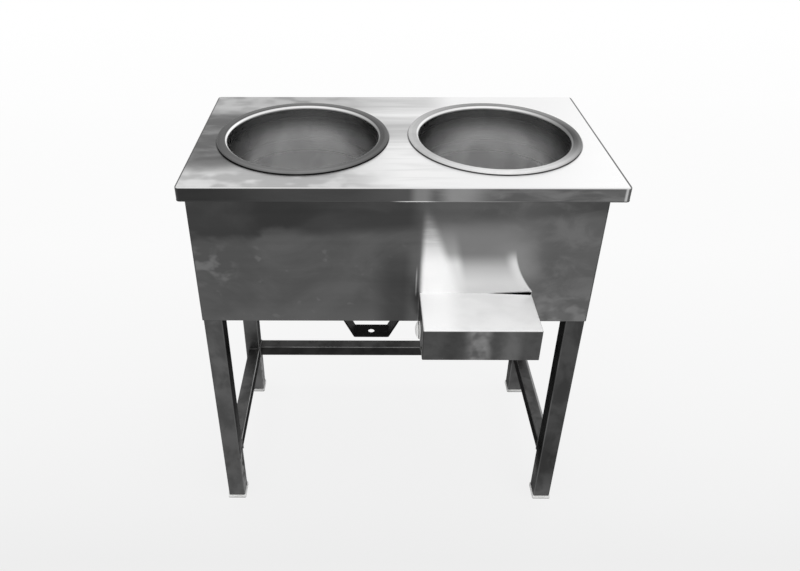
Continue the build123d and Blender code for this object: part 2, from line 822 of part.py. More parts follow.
with BuildPart() as gland_dome_nut:
    with BuildSketch(Plane.XY.offset(gland_body_bottom)):
        with Locations(gland_place):
            Circle(gland_dome_radius)
    extrude(amount=-gland_dome_height)
    fillet(gland_dome_nut.faces().sort_by(Axis.Z)[0].edges(), gland_dome_edge)
    with BuildSketch(Plane.XY.offset(gland_body_bottom)):
        with Locations(gland_place):
            Circle(gland_bore)
    extrude(amount=-gland_dome_height, mode=Mode.SUBTRACT)
hand_in(gland_dome_nut, "gland_dome_nut")

# Drain spud through the tank floor, with its washer and lock nut
drain_place = (drain_x, drain_y)
with BuildPart() as drain_spud:
    with BuildSketch(Plane.XY.offset(tank_floor_top)):
        with Locations(drain_place):
            Circle(spud_flange_radius)
    extrude(amount=spud_flange)
    with BuildSketch(Plane.XY.offset(tank_floor_top)):
        with Locations(drain_place):
            Circle(spud_radius)
    extrude(amount=spud_bottom - tank_floor_top)
    with BuildSketch(Plane.XY.offset(tank_floor_top + spud_flange)):
        with Locations(drain_place):
            Circle(spud_bore)
    extrude(amount=spud_bottom - tank_floor_top - spud_flange, mode=Mode.SUBTRACT)
hand_in(drain_spud, "drain_spud")

with BuildPart() as drain_washer:
    with BuildSketch(Plane.XY.offset(tank_under)):
        with Locations(drain_place):
            Circle(washer_radius)
            Circle(spud_radius + hole_play, mode=Mode.SUBTRACT)
    extrude(amount=-washer_height)
hand_in(drain_washer, "drain_washer")

with BuildPart() as drain_nut:
    with BuildSketch(Plane.XY.offset(tank_under - washer_height)):
        with Locations(drain_place):
            RegularPolygon(spud_nut_flats / 2, 6, major_radius=False)
            Circle(spud_radius, mode=Mode.SUBTRACT)
    extrude(amount=-spud_nut_height)
hand_in(drain_nut, "drain_nut")

# Valve body: a socket for the spud, a chamber for the ball and a boss for the stem
chamber_top = valve_z + chamber_half
chamber_bottom = valve_z - chamber_half
valve_bottom = chamber_bottom - tail_insert
with BuildPart() as valve_body:
    with BuildSketch(Plane.XY.offset(valve_bottom)):
        with Locations(drain_place):
            Circle(valve_radius)
    extrude(amount=chamber_top + valve_roof - valve_bottom)
    with BuildSketch(Plane.XY.offset(chamber_top)):
        with Locations(drain_place):
            RegularPolygon(valve_flats / 2, 6, major_radius=False)
    extrude(amount=spud_bottom + valve_socket - chamber_top)
    with BuildSketch(Plane.YZ.offset(drain_x)):
        with Locations((drain_y, valve_z)):
            Circle(boss_radius)
    extrude(amount=-boss_reach)
    with BuildSketch(Plane.XY.offset(spud_bottom)):
        with Locations(drain_place):
            Circle(spud_radius)
    extrude(amount=valve_socket, mode=Mode.SUBTRACT)
    with BuildSketch(Plane.XY.offset(spud_bottom)):
        with Locations(drain_place):
            Circle(spud_bore)
    extrude(amount=valve_z - spud_bottom, mode=Mode.SUBTRACT)
    with BuildSketch(Plane.XY.offset(chamber_top)):
        with Locations(drain_place):
            Circle(chamber_radius)
    extrude(amount=valve_bottom - chamber_top, mode=Mode.SUBTRACT)
    with BuildSketch(Plane.YZ.offset(drain_x)):
        with Locations((drain_y, valve_z)):
            Circle(stem_radius + spindle_play)
    extrude(amount=-boss_reach, mode=Mode.SUBTRACT)
hand_in(valve_body, "valve_body")

# Valve tail: screwed in from below, with the nozzle that a hose goes over
tail_bottom = valve_bottom - tail_flats_height
with BuildPart() as valve_tail:
    with BuildSketch(Plane.XY.offset(valve_bottom)):
        with Locations(drain_place):
            Circle(chamber_radius)
    extrude(amount=tail_insert)
    with BuildSketch(Plane.XY.offset(valve_bottom)):
        with Locations(drain_place):
            RegularPolygon(valve_flats / 2, 6, major_radius=False)
    extrude(amount=-tail_flats_height)
    with BuildSketch(Plane.XY.offset(tail_bottom)):
        with Locations(drain_place):
            Circle(nozzle_radius)
    extrude(amount=-nozzle_length)
    with BuildSketch(Plane.XY.offset(chamber_bottom)):
        with Locations(drain_place):
            Circle(spud_bore)
    extrude(amount=tail_bottom - nozzle_length - chamber_bottom, mode=Mode.SUBTRACT)
hand_in(valve_tail, "valve_tail")

# Seats: a ring above and a ring below the ball, hollowed to its curve
with BuildPart() as valve_seats:
    for toward in (1, -1):
        with BuildSketch(Plane.XY.offset(valve_z + toward * seat_start)):
            with Locations(drain_place):
                Circle(chamber_radius)
                Circle(spud_bore, mode=Mode.SUBTRACT)
        extrude(amount=toward * (chamber_half - seat_start))
    with Locations((drain_x, drain_y, valve_z)):
        Sphere(ball_radius + ball_play, mode=Mode.SUBTRACT)
hand_in(valve_seats, "valve_seats")

# Ball: closed at rest, so its bore lies across the pipe, with a slot for the stem
with BuildPart() as valve_ball:
    with Locations((drain_x, drain_y, valve_z)):
        Sphere(ball_radius)
    with BuildSketch(Plane.XZ.offset(-drain_y)):
        with Locations((drain_x, valve_z)):
            Circle(spud_bore)
    extrude(amount=ball_radius, both=True, mode=Mode.SUBTRACT)
    with BuildSketch(Plane.YZ.offset(drain_x - ball_radius + ball_slot[2])):
        with Locations((drain_y, valve_z)):
            Rectangle(ball_slot[0], ball_slot[1])
    extrude(amount=-2 * ball_slot[2], mode=Mode.SUBTRACT)
hand_in(valve_ball, "valve_ball")

# Stem: a tongue in the ball's slot, a shaft through the boss and a thread for the lever
with BuildPart() as valve_stem:
    with BuildSketch(Plane.YZ.offset(drain_x - stem_start)):
        with Locations((drain_y, valve_z)):
            Circle(stem_radius)
    extrude(amount=stem_start - stem_shoulder)
    with BuildSketch(Plane.YZ.offset(drain_x - stem_shoulder)):
        with Locations((drain_y, valve_z)):
            Circle(stem_thread_radius)
    extrude(amount=stem_shoulder - stem_end)
    with BuildSketch(Plane.YZ.offset(drain_x - stem_start)):
        with Locations((drain_y, valve_z)):
            Rectangle(ball_slot[0], tongue_length)
    extrude(amount=stem_start - ball_radius + ball_slot[2])
hand_in(valve_stem, "valve_stem")

# Lever, held against the stem's shoulder by its nut, with a soft grip over its end
lever_x = drain_x - stem_shoulder
with BuildPart() as drain_lever:
    with BuildSketch(Plane.YZ.offset(lever_x)):
        with Locations((drain_y, valve_z)):
            Circle(lever_width / 2)
            Rectangle(lever_length, lever_width, align=(Align.MIN, Align.CENTER))
            Circle(stem_thread_radius, mode=Mode.SUBTRACT)
    extrude(amount=-lever_sheet)
hand_in(drain_lever, "drain_lever")

with BuildPart() as lever_nut:
    with BuildSketch(Plane.YZ.offset(lever_x - lever_sheet)):
        with Locations((drain_y, valve_z)):
            RegularPolygon(lever_nut_flats / 2, 6, major_radius=False)
            Circle(stem_thread_radius, mode=Mode.SUBTRACT)
    extrude(amount=-lever_nut_height)
hand_in(lever_nut, "lever_nut")

grip_end_y = drain_y + lever_length + grip_wall
with BuildPart() as lever_grip:
    with BuildSketch(Plane.YZ.offset(lever_x + grip_wall)):
        with Locations((grip_end_y, valve_z)):
            Rectangle(grip_length, lever_width + 2 * grip_wall, align=(Align.MAX, Align.CENTER))
    extrude(amount=-lever_sheet - 2 * grip_wall)
    fillet(lever_grip.edges().filter_by(Axis.X).sort_by(Axis.Y)[-2:], grip_corner)
    with BuildSketch(Plane.YZ.offset(lever_x)):
        with Locations((grip_end_y - grip_wall, valve_z)):
            Rectangle(grip_length, lever_width, align=(Align.MAX, Align.CENTER))
    extrude(amount=-lever_sheet, mode=Mode.SUBTRACT)
hand_in(lever_grip, "lever_grip")
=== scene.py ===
# %% [markdown]
# A two-pot bain marie: a stainless water tank on four square legs, with two round pots hanging in its
# top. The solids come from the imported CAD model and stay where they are. This lesson adds the camera,
# the light, the finish of each sheet, tube and fitting, and the small forms that a welder or a metal
# spinner leaves behind.

# %% Load the solids
import math

import bpy
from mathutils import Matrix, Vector


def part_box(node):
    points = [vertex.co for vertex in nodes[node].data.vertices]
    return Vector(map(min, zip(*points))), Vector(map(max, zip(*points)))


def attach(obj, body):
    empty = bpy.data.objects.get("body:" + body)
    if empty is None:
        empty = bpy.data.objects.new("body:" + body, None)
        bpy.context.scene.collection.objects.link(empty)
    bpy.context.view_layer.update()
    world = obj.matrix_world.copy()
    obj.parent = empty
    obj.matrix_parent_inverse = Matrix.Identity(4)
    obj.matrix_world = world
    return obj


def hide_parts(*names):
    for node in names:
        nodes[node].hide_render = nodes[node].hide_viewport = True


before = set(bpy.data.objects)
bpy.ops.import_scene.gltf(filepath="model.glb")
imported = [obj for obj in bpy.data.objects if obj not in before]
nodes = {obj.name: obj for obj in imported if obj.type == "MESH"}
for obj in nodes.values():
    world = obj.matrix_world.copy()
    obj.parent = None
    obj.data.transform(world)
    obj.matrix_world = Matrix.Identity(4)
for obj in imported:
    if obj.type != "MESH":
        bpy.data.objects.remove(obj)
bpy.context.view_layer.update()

# %% [markdown]
# The camera stands where the photographer stood: a little left of the middle, above the top and
# looking down. Its place was found by matching the corners of the top, the tank, the legs and the
# pots. The picture had been cropped, so its middle is not on the lens axis, and the sensor is shifted
# by the amount of that crop.

# %% Set up the camera
camera_lens = bpy.data.cameras.new("photo_camera")
camera_lens.sensor_width = 36.0
camera_lens.lens = 31.57
camera_lens.shift_x = 0.0452
camera_lens.shift_y = -0.0823
tilt_down = 30.788
turn_left = 0.223
camera = bpy.data.objects.new("photo_camera", camera_lens)
camera.location = (-0.0653, -1.2690, 1.4496)
camera.rotation_euler = (math.radians(90.0 - tilt_down), 0.0, math.radians(turn_left))
bpy.context.scene.collection.objects.link(camera)
bpy.context.scene.camera = camera
bpy.context.scene.view_settings.view_transform = "Standard"
print("camera at", [round(v, 3) for v in camera.location])

# %% [markdown]
# Every finish below is a tree of nodes. Adding nodes one by one in code is long-winded, so a few small
# helpers do it: one feeds a socket with a number or with another socket, one adds a node of any kind,
# and two do sums on numbers and on vectors. A socket knows the tree it belongs to, so most helpers
# don't have to be told.

# %% Helpers for node trees
def feed(socket, value):
    """Link a socket to another socket, or give it a plain value."""
    if isinstance(value, bpy.types.NodeSocket):
        socket.id_data.links.new(value, socket)
    else:
        socket.default_value = value


def add(tree, kind, settings=None, terms=(), **inputs):
    """Add a node, change its settings and feed its inputs, in order or by name with _ for a space."""
    node = tree.nodes.new(kind)
    for name, value in (settings or {}).items():
        setattr(node, name, value)
    for socket, term in zip(node.inputs, terms):
        feed(socket, term)
    for name, value in inputs.items():
        feed(node.inputs[name.replace("_", " ")], value)
    return node


def tree_of(terms):
    """The tree of the first socket among some sockets and numbers."""
    return next(term.id_data for term in terms if isinstance(term, bpy.types.NodeSocket))


def calc(operation, *terms, clamp=True):
    """A Math node on numbers or sockets, held to the range of a mask if it is clamped."""
    settings = {"operation": operation, "use_clamp": clamp}
    return add(tree_of(terms), "ShaderNodeMath", settings, terms).outputs[0]


def vector_calc(operation, *terms):
    """A Vector Math node. Its outputs are a Vector and a Value."""
    return add(tree_of(terms), "ShaderNodeVectorMath", {"operation": operation}, terms).outputs


print("helpers feed, add, calc and vector_calc")

# %% [markdown]
# A tone often depends on where a point is or on which way its surface looks. Object coordinates are in
# metres from an origin that all the solids share, so a mark that is placed with them has its real size
# and place, and it moves with its piece.

# %% Helpers for places
def place_on(tree):
    """The place on the object, in metres."""
    return add(tree, "ShaderNodeTexCoord").outputs["Object"]


def normal_on(tree):
    """The way that the surface looks."""
    return add(tree, "ShaderNodeNewGeometry").outputs["Normal"]


def parts_of(vector):
    """The parts of a vector, named X, Y and Z."""
    return add(vector.id_data, "ShaderNodeSeparateXYZ", Vector=vector).outputs


def rescale(value, settings=None, **limits):
    """A value brought from one range into another. A limit that isn't given is 0 or 1."""
    return add(value.id_data, "ShaderNodeMapRange", settings, Value=value, **limits).outputs["Result"]


print("helpers place_on, normal_on, parts_of and rescale")

# %% [markdown]
# Steel and white plastic are greys, so most tones here are single numbers. A tone can be mixed into
# another by a mask, as paint is, or multiplied onto it, as a wash of dirt is. The last helper starts a
# material and gives its Principled shader, which all the finishes feed.

# %% Helpers for tones
def grey(tone):
    """A grey colour from one number."""
    return (tone, tone, tone, 1.0)


def blend_tones(mask, low, high, way="MIX"):
    """Mix two colours by a mask. A single number stands for a grey."""
    node = add(mask.id_data, "ShaderNodeMix", {"data_type": "RGBA", "blend_type": way}, (mask,))
    low_socket, high_socket = node.inputs[6], node.inputs[7]
    for socket, tone in ((low_socket, low), (high_socket, high)):
        feed(socket, grey(tone) if isinstance(tone, float) else tone)
    return node.outputs[2]


def new_finish(name):
    """An empty material, its tree and its Principled shader."""
    finish = bpy.data.materials.new(name)
    finish.use_nodes = True
    return finish, finish.node_tree, finish.node_tree.nodes["Principled BSDF"]


print("helpers grey, blend_tones and new_finish")

# %% [markdown]
# The floor is a plain pale studio floor. In the picture it goes from white behind the table to a very
# light grey in front, and further out it is white again. A lit floor alone would come out grey all
# over, so most of what the camera and the steel see of it is a plain tone that changes from front to
# rear. The rest is lit, which keeps the soft shadow under the table.

# %% Paint the floor
def seen_directly(tree):
    """Mask of the rays that come from the camera, or on from metal or glass."""
    rays = add(tree, "ShaderNodeLightPath").outputs
    seen = calc("ADD", rays["Is Camera Ray"], rays["Is Glossy Ray"])
    return calc("ADD", seen, rays["Is Transmission Ray"])


floor_front, floor_rear = -3.0, 5.0
floor_tones = (
    (-3.0, 1.0), (-1.2, 0.85), (-0.32, 0.85), (-0.17, 0.883), (0.02, 0.910),
    (0.24, 0.930), (0.47, 0.944), (0.93, 0.970), (4.0, 1.0),
)
plain_share = {"From_Min": 0.5, "From_Max": 2.5, "To_Min": 0.92, "To_Max": 1.0}
lit_tone = 0.92
floor_paint = bpy.data.materials.new("floor_paint")
floor_paint.use_nodes = True
tree = floor_paint.node_tree
tree.nodes.clear()
along = parts_of(place_on(tree))["Y"]
ramp = add(tree, "ShaderNodeValToRGB", Fac=rescale(along, From_Min=floor_front, From_Max=floor_rear))
stops = ramp.color_ramp.elements
while len(stops) < len(floor_tones):
    stops.new(0.5)
for stop, (place_y, tone) in zip(stops, floor_tones):
    stop.position = (place_y - floor_front) / (floor_rear - floor_front)
    stop.color = grey(tone)
share = calc("MULTIPLY", seen_directly(tree), rescale(along, **plain_share))
lit = add(tree, "ShaderNodeBsdfDiffuse", Color=grey(lit_tone)).outputs[0]
plain = add(tree, "ShaderNodeEmission", Color=ramp.outputs["Color"]).outputs[0]
mixed = add(tree, "ShaderNodeMixShader", terms=(share, lit, plain)).outputs[0]
add(tree, "ShaderNodeOutputMaterial", Surface=mixed)
print("floor tones", floor_tones[0][1], "to", floor_tones[-1][1])

# %% [markdown]
# The floor itself is one large square at height zero, far larger than any view of the table shows.

# %% Lay the floor
floor_half = 60.0
corner_ways = ((-1, -1), (1, -1), (1, 1), (-1, 1))
floor_corners = [(x * floor_half, y * floor_half, 0.0) for x, y in corner_ways]
floor_mesh = bpy.data.meshes.new("studio_floor")
floor_mesh.from_pydata(floor_corners, [], [(0, 1, 2, 3)])
floor_mesh.materials.append(floor_paint)
floor = bpy.data.objects.new("studio_floor", floor_mesh)
bpy.context.scene.collection.objects.link(floor)
print("floor of", 2.0 * floor_half, "m")

# %% [markdown]
# The light is soft and comes from all around, as in a white studio: a pale world, a broad lamp overhead
# and a weak one behind on the right, which the brushed top mirrors as a whiter sheen at its right end.
# The overhead lamp is kept out of reflections. Brighter lamps with darker finishes could look the same
# here, but at this level each finish shows about the tone it is given, and the top doesn't clip.

# %% Light the studio
def soft_lamp(name, place, target, size, power):
    """A rectangular lamp that looks at a target and is itself out of sight."""
    lamp_data = bpy.data.lights.new(name, "AREA")
    lamp_data.shape = "RECTANGLE"
    lamp_data.size, lamp_data.size_y = size
    lamp_data.energy = power
    lamp = bpy.data.objects.new(name, lamp_data)
    lamp.location = place
    lamp.rotation_euler = (Vector(target) - Vector(place)).to_track_quat("-Z", "Y").to_euler()
    lamp.visible_camera = False
    bpy.context.scene.collection.objects.link(lamp)
    return lamp


overhead = soft_lamp("overhead_lamp", (0.2, -0.6, 3.2), (0.0, 0.0, 0.6), size=(4.2, 3.8), power=88.0)
overhead.visible_glossy = False
soft_lamp("rear_right_lamp", (2.6, 3.2, 2.9), (0.1, 0.0, 0.8), size=(2.6, 1.8), power=3.0)

lighting_strength, white_strength = 0.5, 1.0
world = bpy.data.worlds.new("white_studio")
world.use_nodes = True
bpy.context.scene.world = world
tree = world.node_tree
backdrop = tree.nodes["Background"].inputs
feed(backdrop["Color"], grey(1.0))
level = rescale(seen_directly(tree), To_Min=lighting_strength, To_Max=white_strength)
feed(backdrop["Strength"], level)
print("lamps", [light.name for light in bpy.data.lights])

# %% [markdown]
# Several finishes share the same effects, so each effect is built once as a node group and placed in
# each material with its own values. A group reads the place on the object by itself.

# %% Start a node group
def socket_kind(value):
    """Kind of socket for a number, a vector of three or a colour of four."""
    if isinstance(value, float):
        return "NodeSocketFloat"
    return "NodeSocketVector" if len(value) == 3 else "NodeSocketColor"


def new_group(name, inputs, outputs):
    """A shader node group. Its sockets are given by name, each with a default of its kind."""
    group = bpy.data.node_groups.new(name, "ShaderNodeTree")
    for way, sockets in (("INPUT", inputs), ("OUTPUT", outputs)):
        for label, default in sockets.items():
            socket = group.interface.new_socket(label, in_out=way, socket_type=socket_kind(default))
            socket.default_value = default
    return group, group.nodes.new("NodeGroupInput").outputs, group.nodes.new("NodeGroupOutput").inputs


def use_group(tree, group, **inputs):
    """Place a group in a tree and feed its inputs by name."""
    return add(tree, "ShaderNodeGroup", {"node_tree": group}, **inputs).outputs


print("helpers new_group and use_group")

# %% [markdown]
# Brushed sheet carries fine lines in the rolling direction. Noise that is stretched along one axis gives
# them: a small number stretches, a large one packs the lines close. The same value serves as a bump
# height.

# %% Brushed grain
def noise(place, scale, detail, roughness=0.5, distortion=0.0):
    """Soft random values between about 0 and 1."""
    inputs = {"Scale": scale, "Detail": detail, "Roughness": roughness, "Distortion": distortion}
    return add(place.id_data, "ShaderNodeTexNoise", Vector=place, **inputs).outputs[0]


brushed_grain, given, result = new_group("brushed_grain", {"Packing": (3.0, 500.0, 500.0)}, {"Grain": 0.0})
packed = vector_calc("MULTIPLY", place_on(brushed_grain), given["Packing"])["Vector"]
feed(result["Grain"], noise(packed, 1.0, 4.0, 0.65))
grain_along_x = (4.0, 420.0, 420.0)
grain_along_y = (420.0, 4.0, 420.0)
grain_upright = (420.0, 420.0, 4.0)
print("group", brushed_grain.name)

# %% [markdown]
# Steel that has been wiped, heated and splashed is cloudy. One group makes those marks: noise of a
# chosen size, cut between a low and a high limit, so that the same group gives broad clouds, wiped bands
# or small spots. More detail also curls the marks a little.

# %% Cloudy marks
smooth = {"interpolation_type": "SMOOTHSTEP"}
curl_share = 0.1
cloudy_marks, given, result = new_group(
    "cloudy_marks",
    {"Packing": (10.0, 10.0, 10.0), "Start": (0.0, 0.0, 0.0), "Low": 0.4, "High": 0.65, "Detail": 5.0},
    {"Mask": 0.0},
)
packed = vector_calc("MULTIPLY_ADD", place_on(cloudy_marks), given["Packing"], given["Start"])["Vector"]
clouds = noise(packed, 1.0, given["Detail"], 0.55, calc("MULTIPLY", given["Detail"], curl_share))
feed(result["Mask"], rescale(clouds, smooth, From_Min=given["Low"], From_Max=given["High"]))
print("group", cloudy_marks.name)

# %% [markdown]
# Some tones belong to one place: the shade under the overhang, the glare beside the control box, the
# smoke at a weld. A band that rises from one value to another, and may fall again further on, marks such
# a place.

# %% Soft bands
soft_band, given, result = new_group(
    "soft_band", {"Value": 0.0, "Start": 0.0, "Full": 0.1, "Hold": 100.0, "End": 101.0}, {"Mask": 0.0}
)
rise = rescale(given["Value"], smooth, From_Min=given["Start"], From_Max=given["Full"])
past = rescale(given["Value"], smooth, From_Min=given["Hold"], From_Max=given["End"])
feed(result["Mask"], calc("MULTIPLY", rise, calc("SUBTRACT", 1.0, past)))
print("group", soft_band.name)

# %% [markdown]
# A folded sheet or a tube has a face to each side, and light falls on them differently, so the tones by
# facing are painted light and shade: the top faces are painted bright, the inner faces dull and dark. This
# group picks a tone by the way the surface faces. Squares of the normal's parts add up to one, so they blend
# the tones with no seam, and a product of two of them is only high on the fold between two faces, where an
# edge catches the light.

# %% Tone by facing
facing_tone, given, result = new_group(
    "facing_tone",
    {"Side": grey(0.1), "Front": grey(0.1), "Top": grey(0.1)},
    {"Color": grey(0.1), "Upward": 0.0, "Bend": 0.0, "Upright Bend": 0.0},
)
normal = normal_on(facing_tone)
share = parts_of(vector_calc("MULTIPLY", normal, normal)["Vector"])
side_or_front = blend_tones(share["Y"], given["Side"], given["Front"])
feed(result["Color"], blend_tones(share["Z"], side_or_front, given["Top"]))
feed(result["Upward"], calc("MAXIMUM", parts_of(normal)["Z"], 0.0))
level = calc("SUBTRACT", 1.0, share["Z"])
product_to_mask = 4.0
for label, first, second in (("Bend", level, share["Z"]), ("Upright Bend", share["X"], share["Y"])):
    feed(result[label], calc("MULTIPLY", calc("MULTIPLY", first, second), product_to_mask))
print("group", facing_tone.name)

# %% [markdown]
# The marks in a finish are masks, and most are made in the same few ways: a band along one axis, an area
# with a band along each of its axes, cloudy marks, or a product of such masks. A mark is then laid over
# the tone so far, or washed over it.

# %% Helpers for masks
def spot(tree):
    """The place on the object, as separate X, Y and Z in metres."""
    return parts_of(place_on(tree))


def band(value, start, full, hold=100.0, end=101.0):
    """Mask of a soft band along one value."""
    limits = {"Start": start, "Full": full, "Hold": hold, "End": end}
    return use_group(value.id_data, soft_band, Value=value, **limits)["Mask"]


def marks(tree, packing, low, high, start=(0.0, 0.0, 0.0), detail=5.0):
    """Mask of cloudy marks of a chosen size. Little detail gives soft dabs."""
    limits = {"Low": low, "High": high, "Start": start, "Detail": detail}
    return use_group(tree, cloudy_marks, Packing=packing, **limits)["Mask"]


def both(first, *others):
    """Mask that is full only where all of the given masks are full."""
    for other in others:
        first = calc("MULTIPLY", first, other)
    return first


def area(at, **limits):
    """Mask of an area, from the limits of a band along each axis that is named."""
    return both(*(band(at[axis], *ends) for axis, ends in limits.items()))


def lay(tone, new_tone, *masks):
    """A tone with another laid over it where all the masks are full."""
    return blend_tones(both(*masks), tone, new_tone)


def wash(tone, shade, *masks):
    """A tone darkened by a shade, as dirt does, where all the masks are full."""
    return blend_tones(both(*masks), tone, shade, "MULTIPLY")


print("helpers spot, band, marks, both, area, lay and wash")

# %% [markdown]
# A metal finish ends the same way each time: its tone, the lines that roughen its sheen and stand up a
# little, and full lustre. The lines could be geometry, but at a few hundredths of a millimetre a bump is
# enough.

# %% Helpers for sheen
def grain(tree, packing):
    """Brushed lines, close together or stretched along each axis."""
    return use_group(tree, brushed_grain, Packing=packing)["Grain"]


def roughen(shader, mask, roughness):
    """Roughness that goes from the first value to the second with a mask."""
    feed(shader.inputs["Roughness"], rescale(mask, To_Min=roughness[0], To_Max=roughness[1]))


def raise_lines(shader, lines, height):
    """Fine relief of a height in metres."""
    bump = add(shader.id_data, "ShaderNodeBump", Strength=1.0, Distance=height, Height=lines)
    feed(shader.inputs["Normal"], bump.outputs[0])


def metal_sheen(shader, colour, lines, height, roughness):
    """Give a metal its colour, its fine lines and its lustre."""
    feed(shader.inputs["Base Color"], colour)
    roughen(shader, lines, roughness)
    raise_lines(shader, lines, height)
    shader.inputs["Metallic"].default_value = 1.0


print("helpers grain, roughen, raise_lines and metal_sheen")

# %% [markdown]
# The top is the brightest sheet. Its left half is darker, partly from soft clouds of stain left by heat and
# wiping and partly as painted shade, and its right half is clean. A plain grey could stand for each of these,
# but the stains are what makes it read as a used steel top, so they are layered: the clean tone, clouds on
# the left, painted shade at the rear, a duller place between the pots, wiped bands along the sheet, a dark
# stain beside the left pot, and light dabs near the front and the rear. The places are in metres on the
# sheet.

# %% Level sheet of the top
def top_flat(tree, at):
    """Tone of the level sheet, from the broad tones to the fine ones."""
    clean, stained, rear_dab = 0.88, 0.100, 0.62
    # The darker left half is partly clouds of stain and partly painted shade.
    leftward = band(at["X"], 0.02, -0.20)
    clouds = blend_tones(marks(tree, (8.0, 22.0, 8.0), 0.36, 0.64), 0.56, 0.40)
    # The wash at the rear is painted shade.
    rear = area(at, Y=(0.165, 0.215), X=(0.14, 0.06))
    tone = wash(blend_tones(leftward, clean, clouds), 0.76, rear)
    wiped = marks(tree, (5.0, 55.0, 20.0), 0.40, 0.64, (3.0, 1.0, 0.0), 2.5)
    tone = wash(tone, 0.72, wiped, band(at["X"], 0.14, 0.0), 0.5)
    between_pots = area(at, X=(-0.10, -0.02, 0.02, 0.10), Y=(0.00, 0.05, 0.10, 0.17))
    tone = wash(tone, 0.66, between_pots)
    stain = area(at, X=(-0.270, -0.335), Y=(-0.150, -0.050, 0.140, 0.205))
    ragged = marks(tree, (10.0, 30.0, 10.0), 0.30, 0.60, (1.0, 3.0, 0.0))
    tone = lay(tone, stained, stain, rescale(ragged, To_Min=0.70, To_Max=1.0))
    dabs = marks(tree, (20.0, 26.0, 20.0), 0.38, 0.62, (7.0, 2.0, 0.0), 1.5)
    near_front = band(at["Y"], -0.090, -0.135)
    tone = lay(tone, blend_tones(dabs, 0.46, 0.74), near_front, leftward, 0.85)
    near_rear = band(at["Y"], 0.155, 0.200)
    return lay(tone, rear_dab, near_rear, leftward, dabs, 0.5)


print("tone of the sheet from", top_flat.__name__)

# %% [markdown]
# Around each pot runs a thin dark line, partly grime and partly painted contact shadow under the bead. It is
# a circle, so it is a band along the distance from the pot's axis. That axis and the size of the bead are
# read from the solid's box.

# %% Grime and painted contact shadow around the pots
def middle_of(node):
    """Middle of a solid's box."""
    low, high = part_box(node)
    return (low + high) / 2.0


def level_way(tree, axis):
    """The level way from an upright axis to each place, as a vector."""
    offset = vector_calc("SUBTRACT", place_on(tree), (axis.x, axis.y, 0.0))["Vector"]
    return vector_calc("MULTIPLY", offset, (1.0, 1.0, 0.0))["Vector"]


def grime_and_contact_shadow_ring(tree, pot):
    """Mask of a thin line of grime and painted contact shadow on the top around the bead of a pot."""
    low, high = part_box(pot)
    bead_radius = (high.x - low.x) / 2.0
    limits = (bead_radius + reach for reach in (-0.006, -0.003, 0.0005, 0.0028))
    return band(vector_calc("LENGTH", level_way(tree, middle_of(pot)))["Value"], *limits)


print("left pot's axis", [round(v, 3) for v in middle_of("left_pot")])

# %% [markdown]
# The folded edge below the sheet is dull on the left and brighter on the right, with two bright patches of
# painted reflection and a painted highlight line near the right corner. The fold above it carries a painted
# highlight, and the corners and the two side folds are dark lines. With these, the finish of the top is
# complete.

# %% Finish of the top
def turn_down(tree, at):
    """Tone of the folded edge, with its patches of painted reflection and a painted highlight at the corner.
    """
    mottles = marks(tree, (16.0, 16.0, 60.0), 0.36, 0.68, (2.0, 0.0, 6.0))
    left_tone = blend_tones(band(at["X"], -0.36, -0.20), 0.042, 0.072)
    left_tone = lay(left_tone, 0.098, band(at["X"], -0.10, 0.00))
    left_tone = wash(left_tone, 0.75, mottles, 0.35)
    right_tone = blend_tones(mottles, 0.118, 0.190)
    tone = blend_tones(band(at["X"], 0.025, 0.055), left_tone, right_tone)
    # The two bright patches are painted reflection, and the line at the right corner is a painted highlight.
    narrow_patch = band(at["X"], 0.008, 0.028, 0.038, 0.060)
    wide_patch = band(at["X"], 0.055, 0.090, 0.105, 0.175)
    corner_highlight = band(at["X"], 0.3930, 0.3965, 0.3980, 0.4000)
    tone = lay(lay(tone, 0.270, narrow_patch, 0.8), 0.320, wide_patch, 0.8)
    return lay(tone, 0.70, corner_highlight, 0.7)


grime_and_shadow_tone, bend_highlight, dark_fold = 0.030, 0.80, 0.050
top_steel, tree, shader = new_finish("top_steel")
at = spot(tree)
flat_tone = top_flat(tree, at)
# Each pot gets a ring of grime and painted contact shadow on the top.
for pot, amount in (("left_pot", 0.95), ("right_pot", 0.80)):
    flat_tone = lay(flat_tone, grime_and_shadow_tone, grime_and_contact_shadow_ring(tree, pot), amount)
tone = use_group(tree, facing_tone, Side=grey(0.16), Front=turn_down(tree, at), Top=flat_tone)
# The fold above the edge takes a painted highlight.
colour = lay(tone["Color"], bend_highlight, tone["Bend"])
top_low, top_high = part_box("top_plate")
left_line = band(at["X"], top_low.x + 0.0040, top_low.x + 0.0028)
right_line = band(at["X"], top_high.x - 0.0052, top_high.x - 0.0040)
for side_line, line_tone in ((left_line, 0.050), (right_line, 0.10)):
    colour = lay(colour, line_tone, side_line, tone["Upward"])
colour = lay(colour, dark_fold, tone["Upright Bend"])
metal_sheen(shader, colour, grain(tree, grain_along_x), height=0.00003, roughness=(0.26, 0.42))
print("finish", top_steel.name)

# %% [markdown]
# The thin hemmed edge under the folded edge is dull as well, but carries a painted highlight near the
# middle, brightest there and fainter to each side.

# %% Finish of the hem
dull_tint = grey(0.25)
hem_steel, tree, shader = new_finish("hem_steel")
at = spot(tree)
# The tones along the hem are a painted highlight, brightest near the middle.
hem_left = blend_tones(band(at["X"], -0.30, -0.10), 0.060, 0.085)
hem_right = blend_tones(band(at["X"], 0.14, 0.26), 0.26, 0.11)
tone = blend_tones(band(at["X"], 0.03, 0.08), hem_left, hem_right)
tone = lay(tone, 0.72, band(at["X"], -0.025, 0.010, 0.038, 0.070), 0.9)
metal_sheen(shader, tone, grain(tree, grain_along_x), height=0.00001, roughness=(0.34, 0.46))
shader.inputs["Specular Tint"].default_value = dull_tint
print("finish", hem_steel.name)

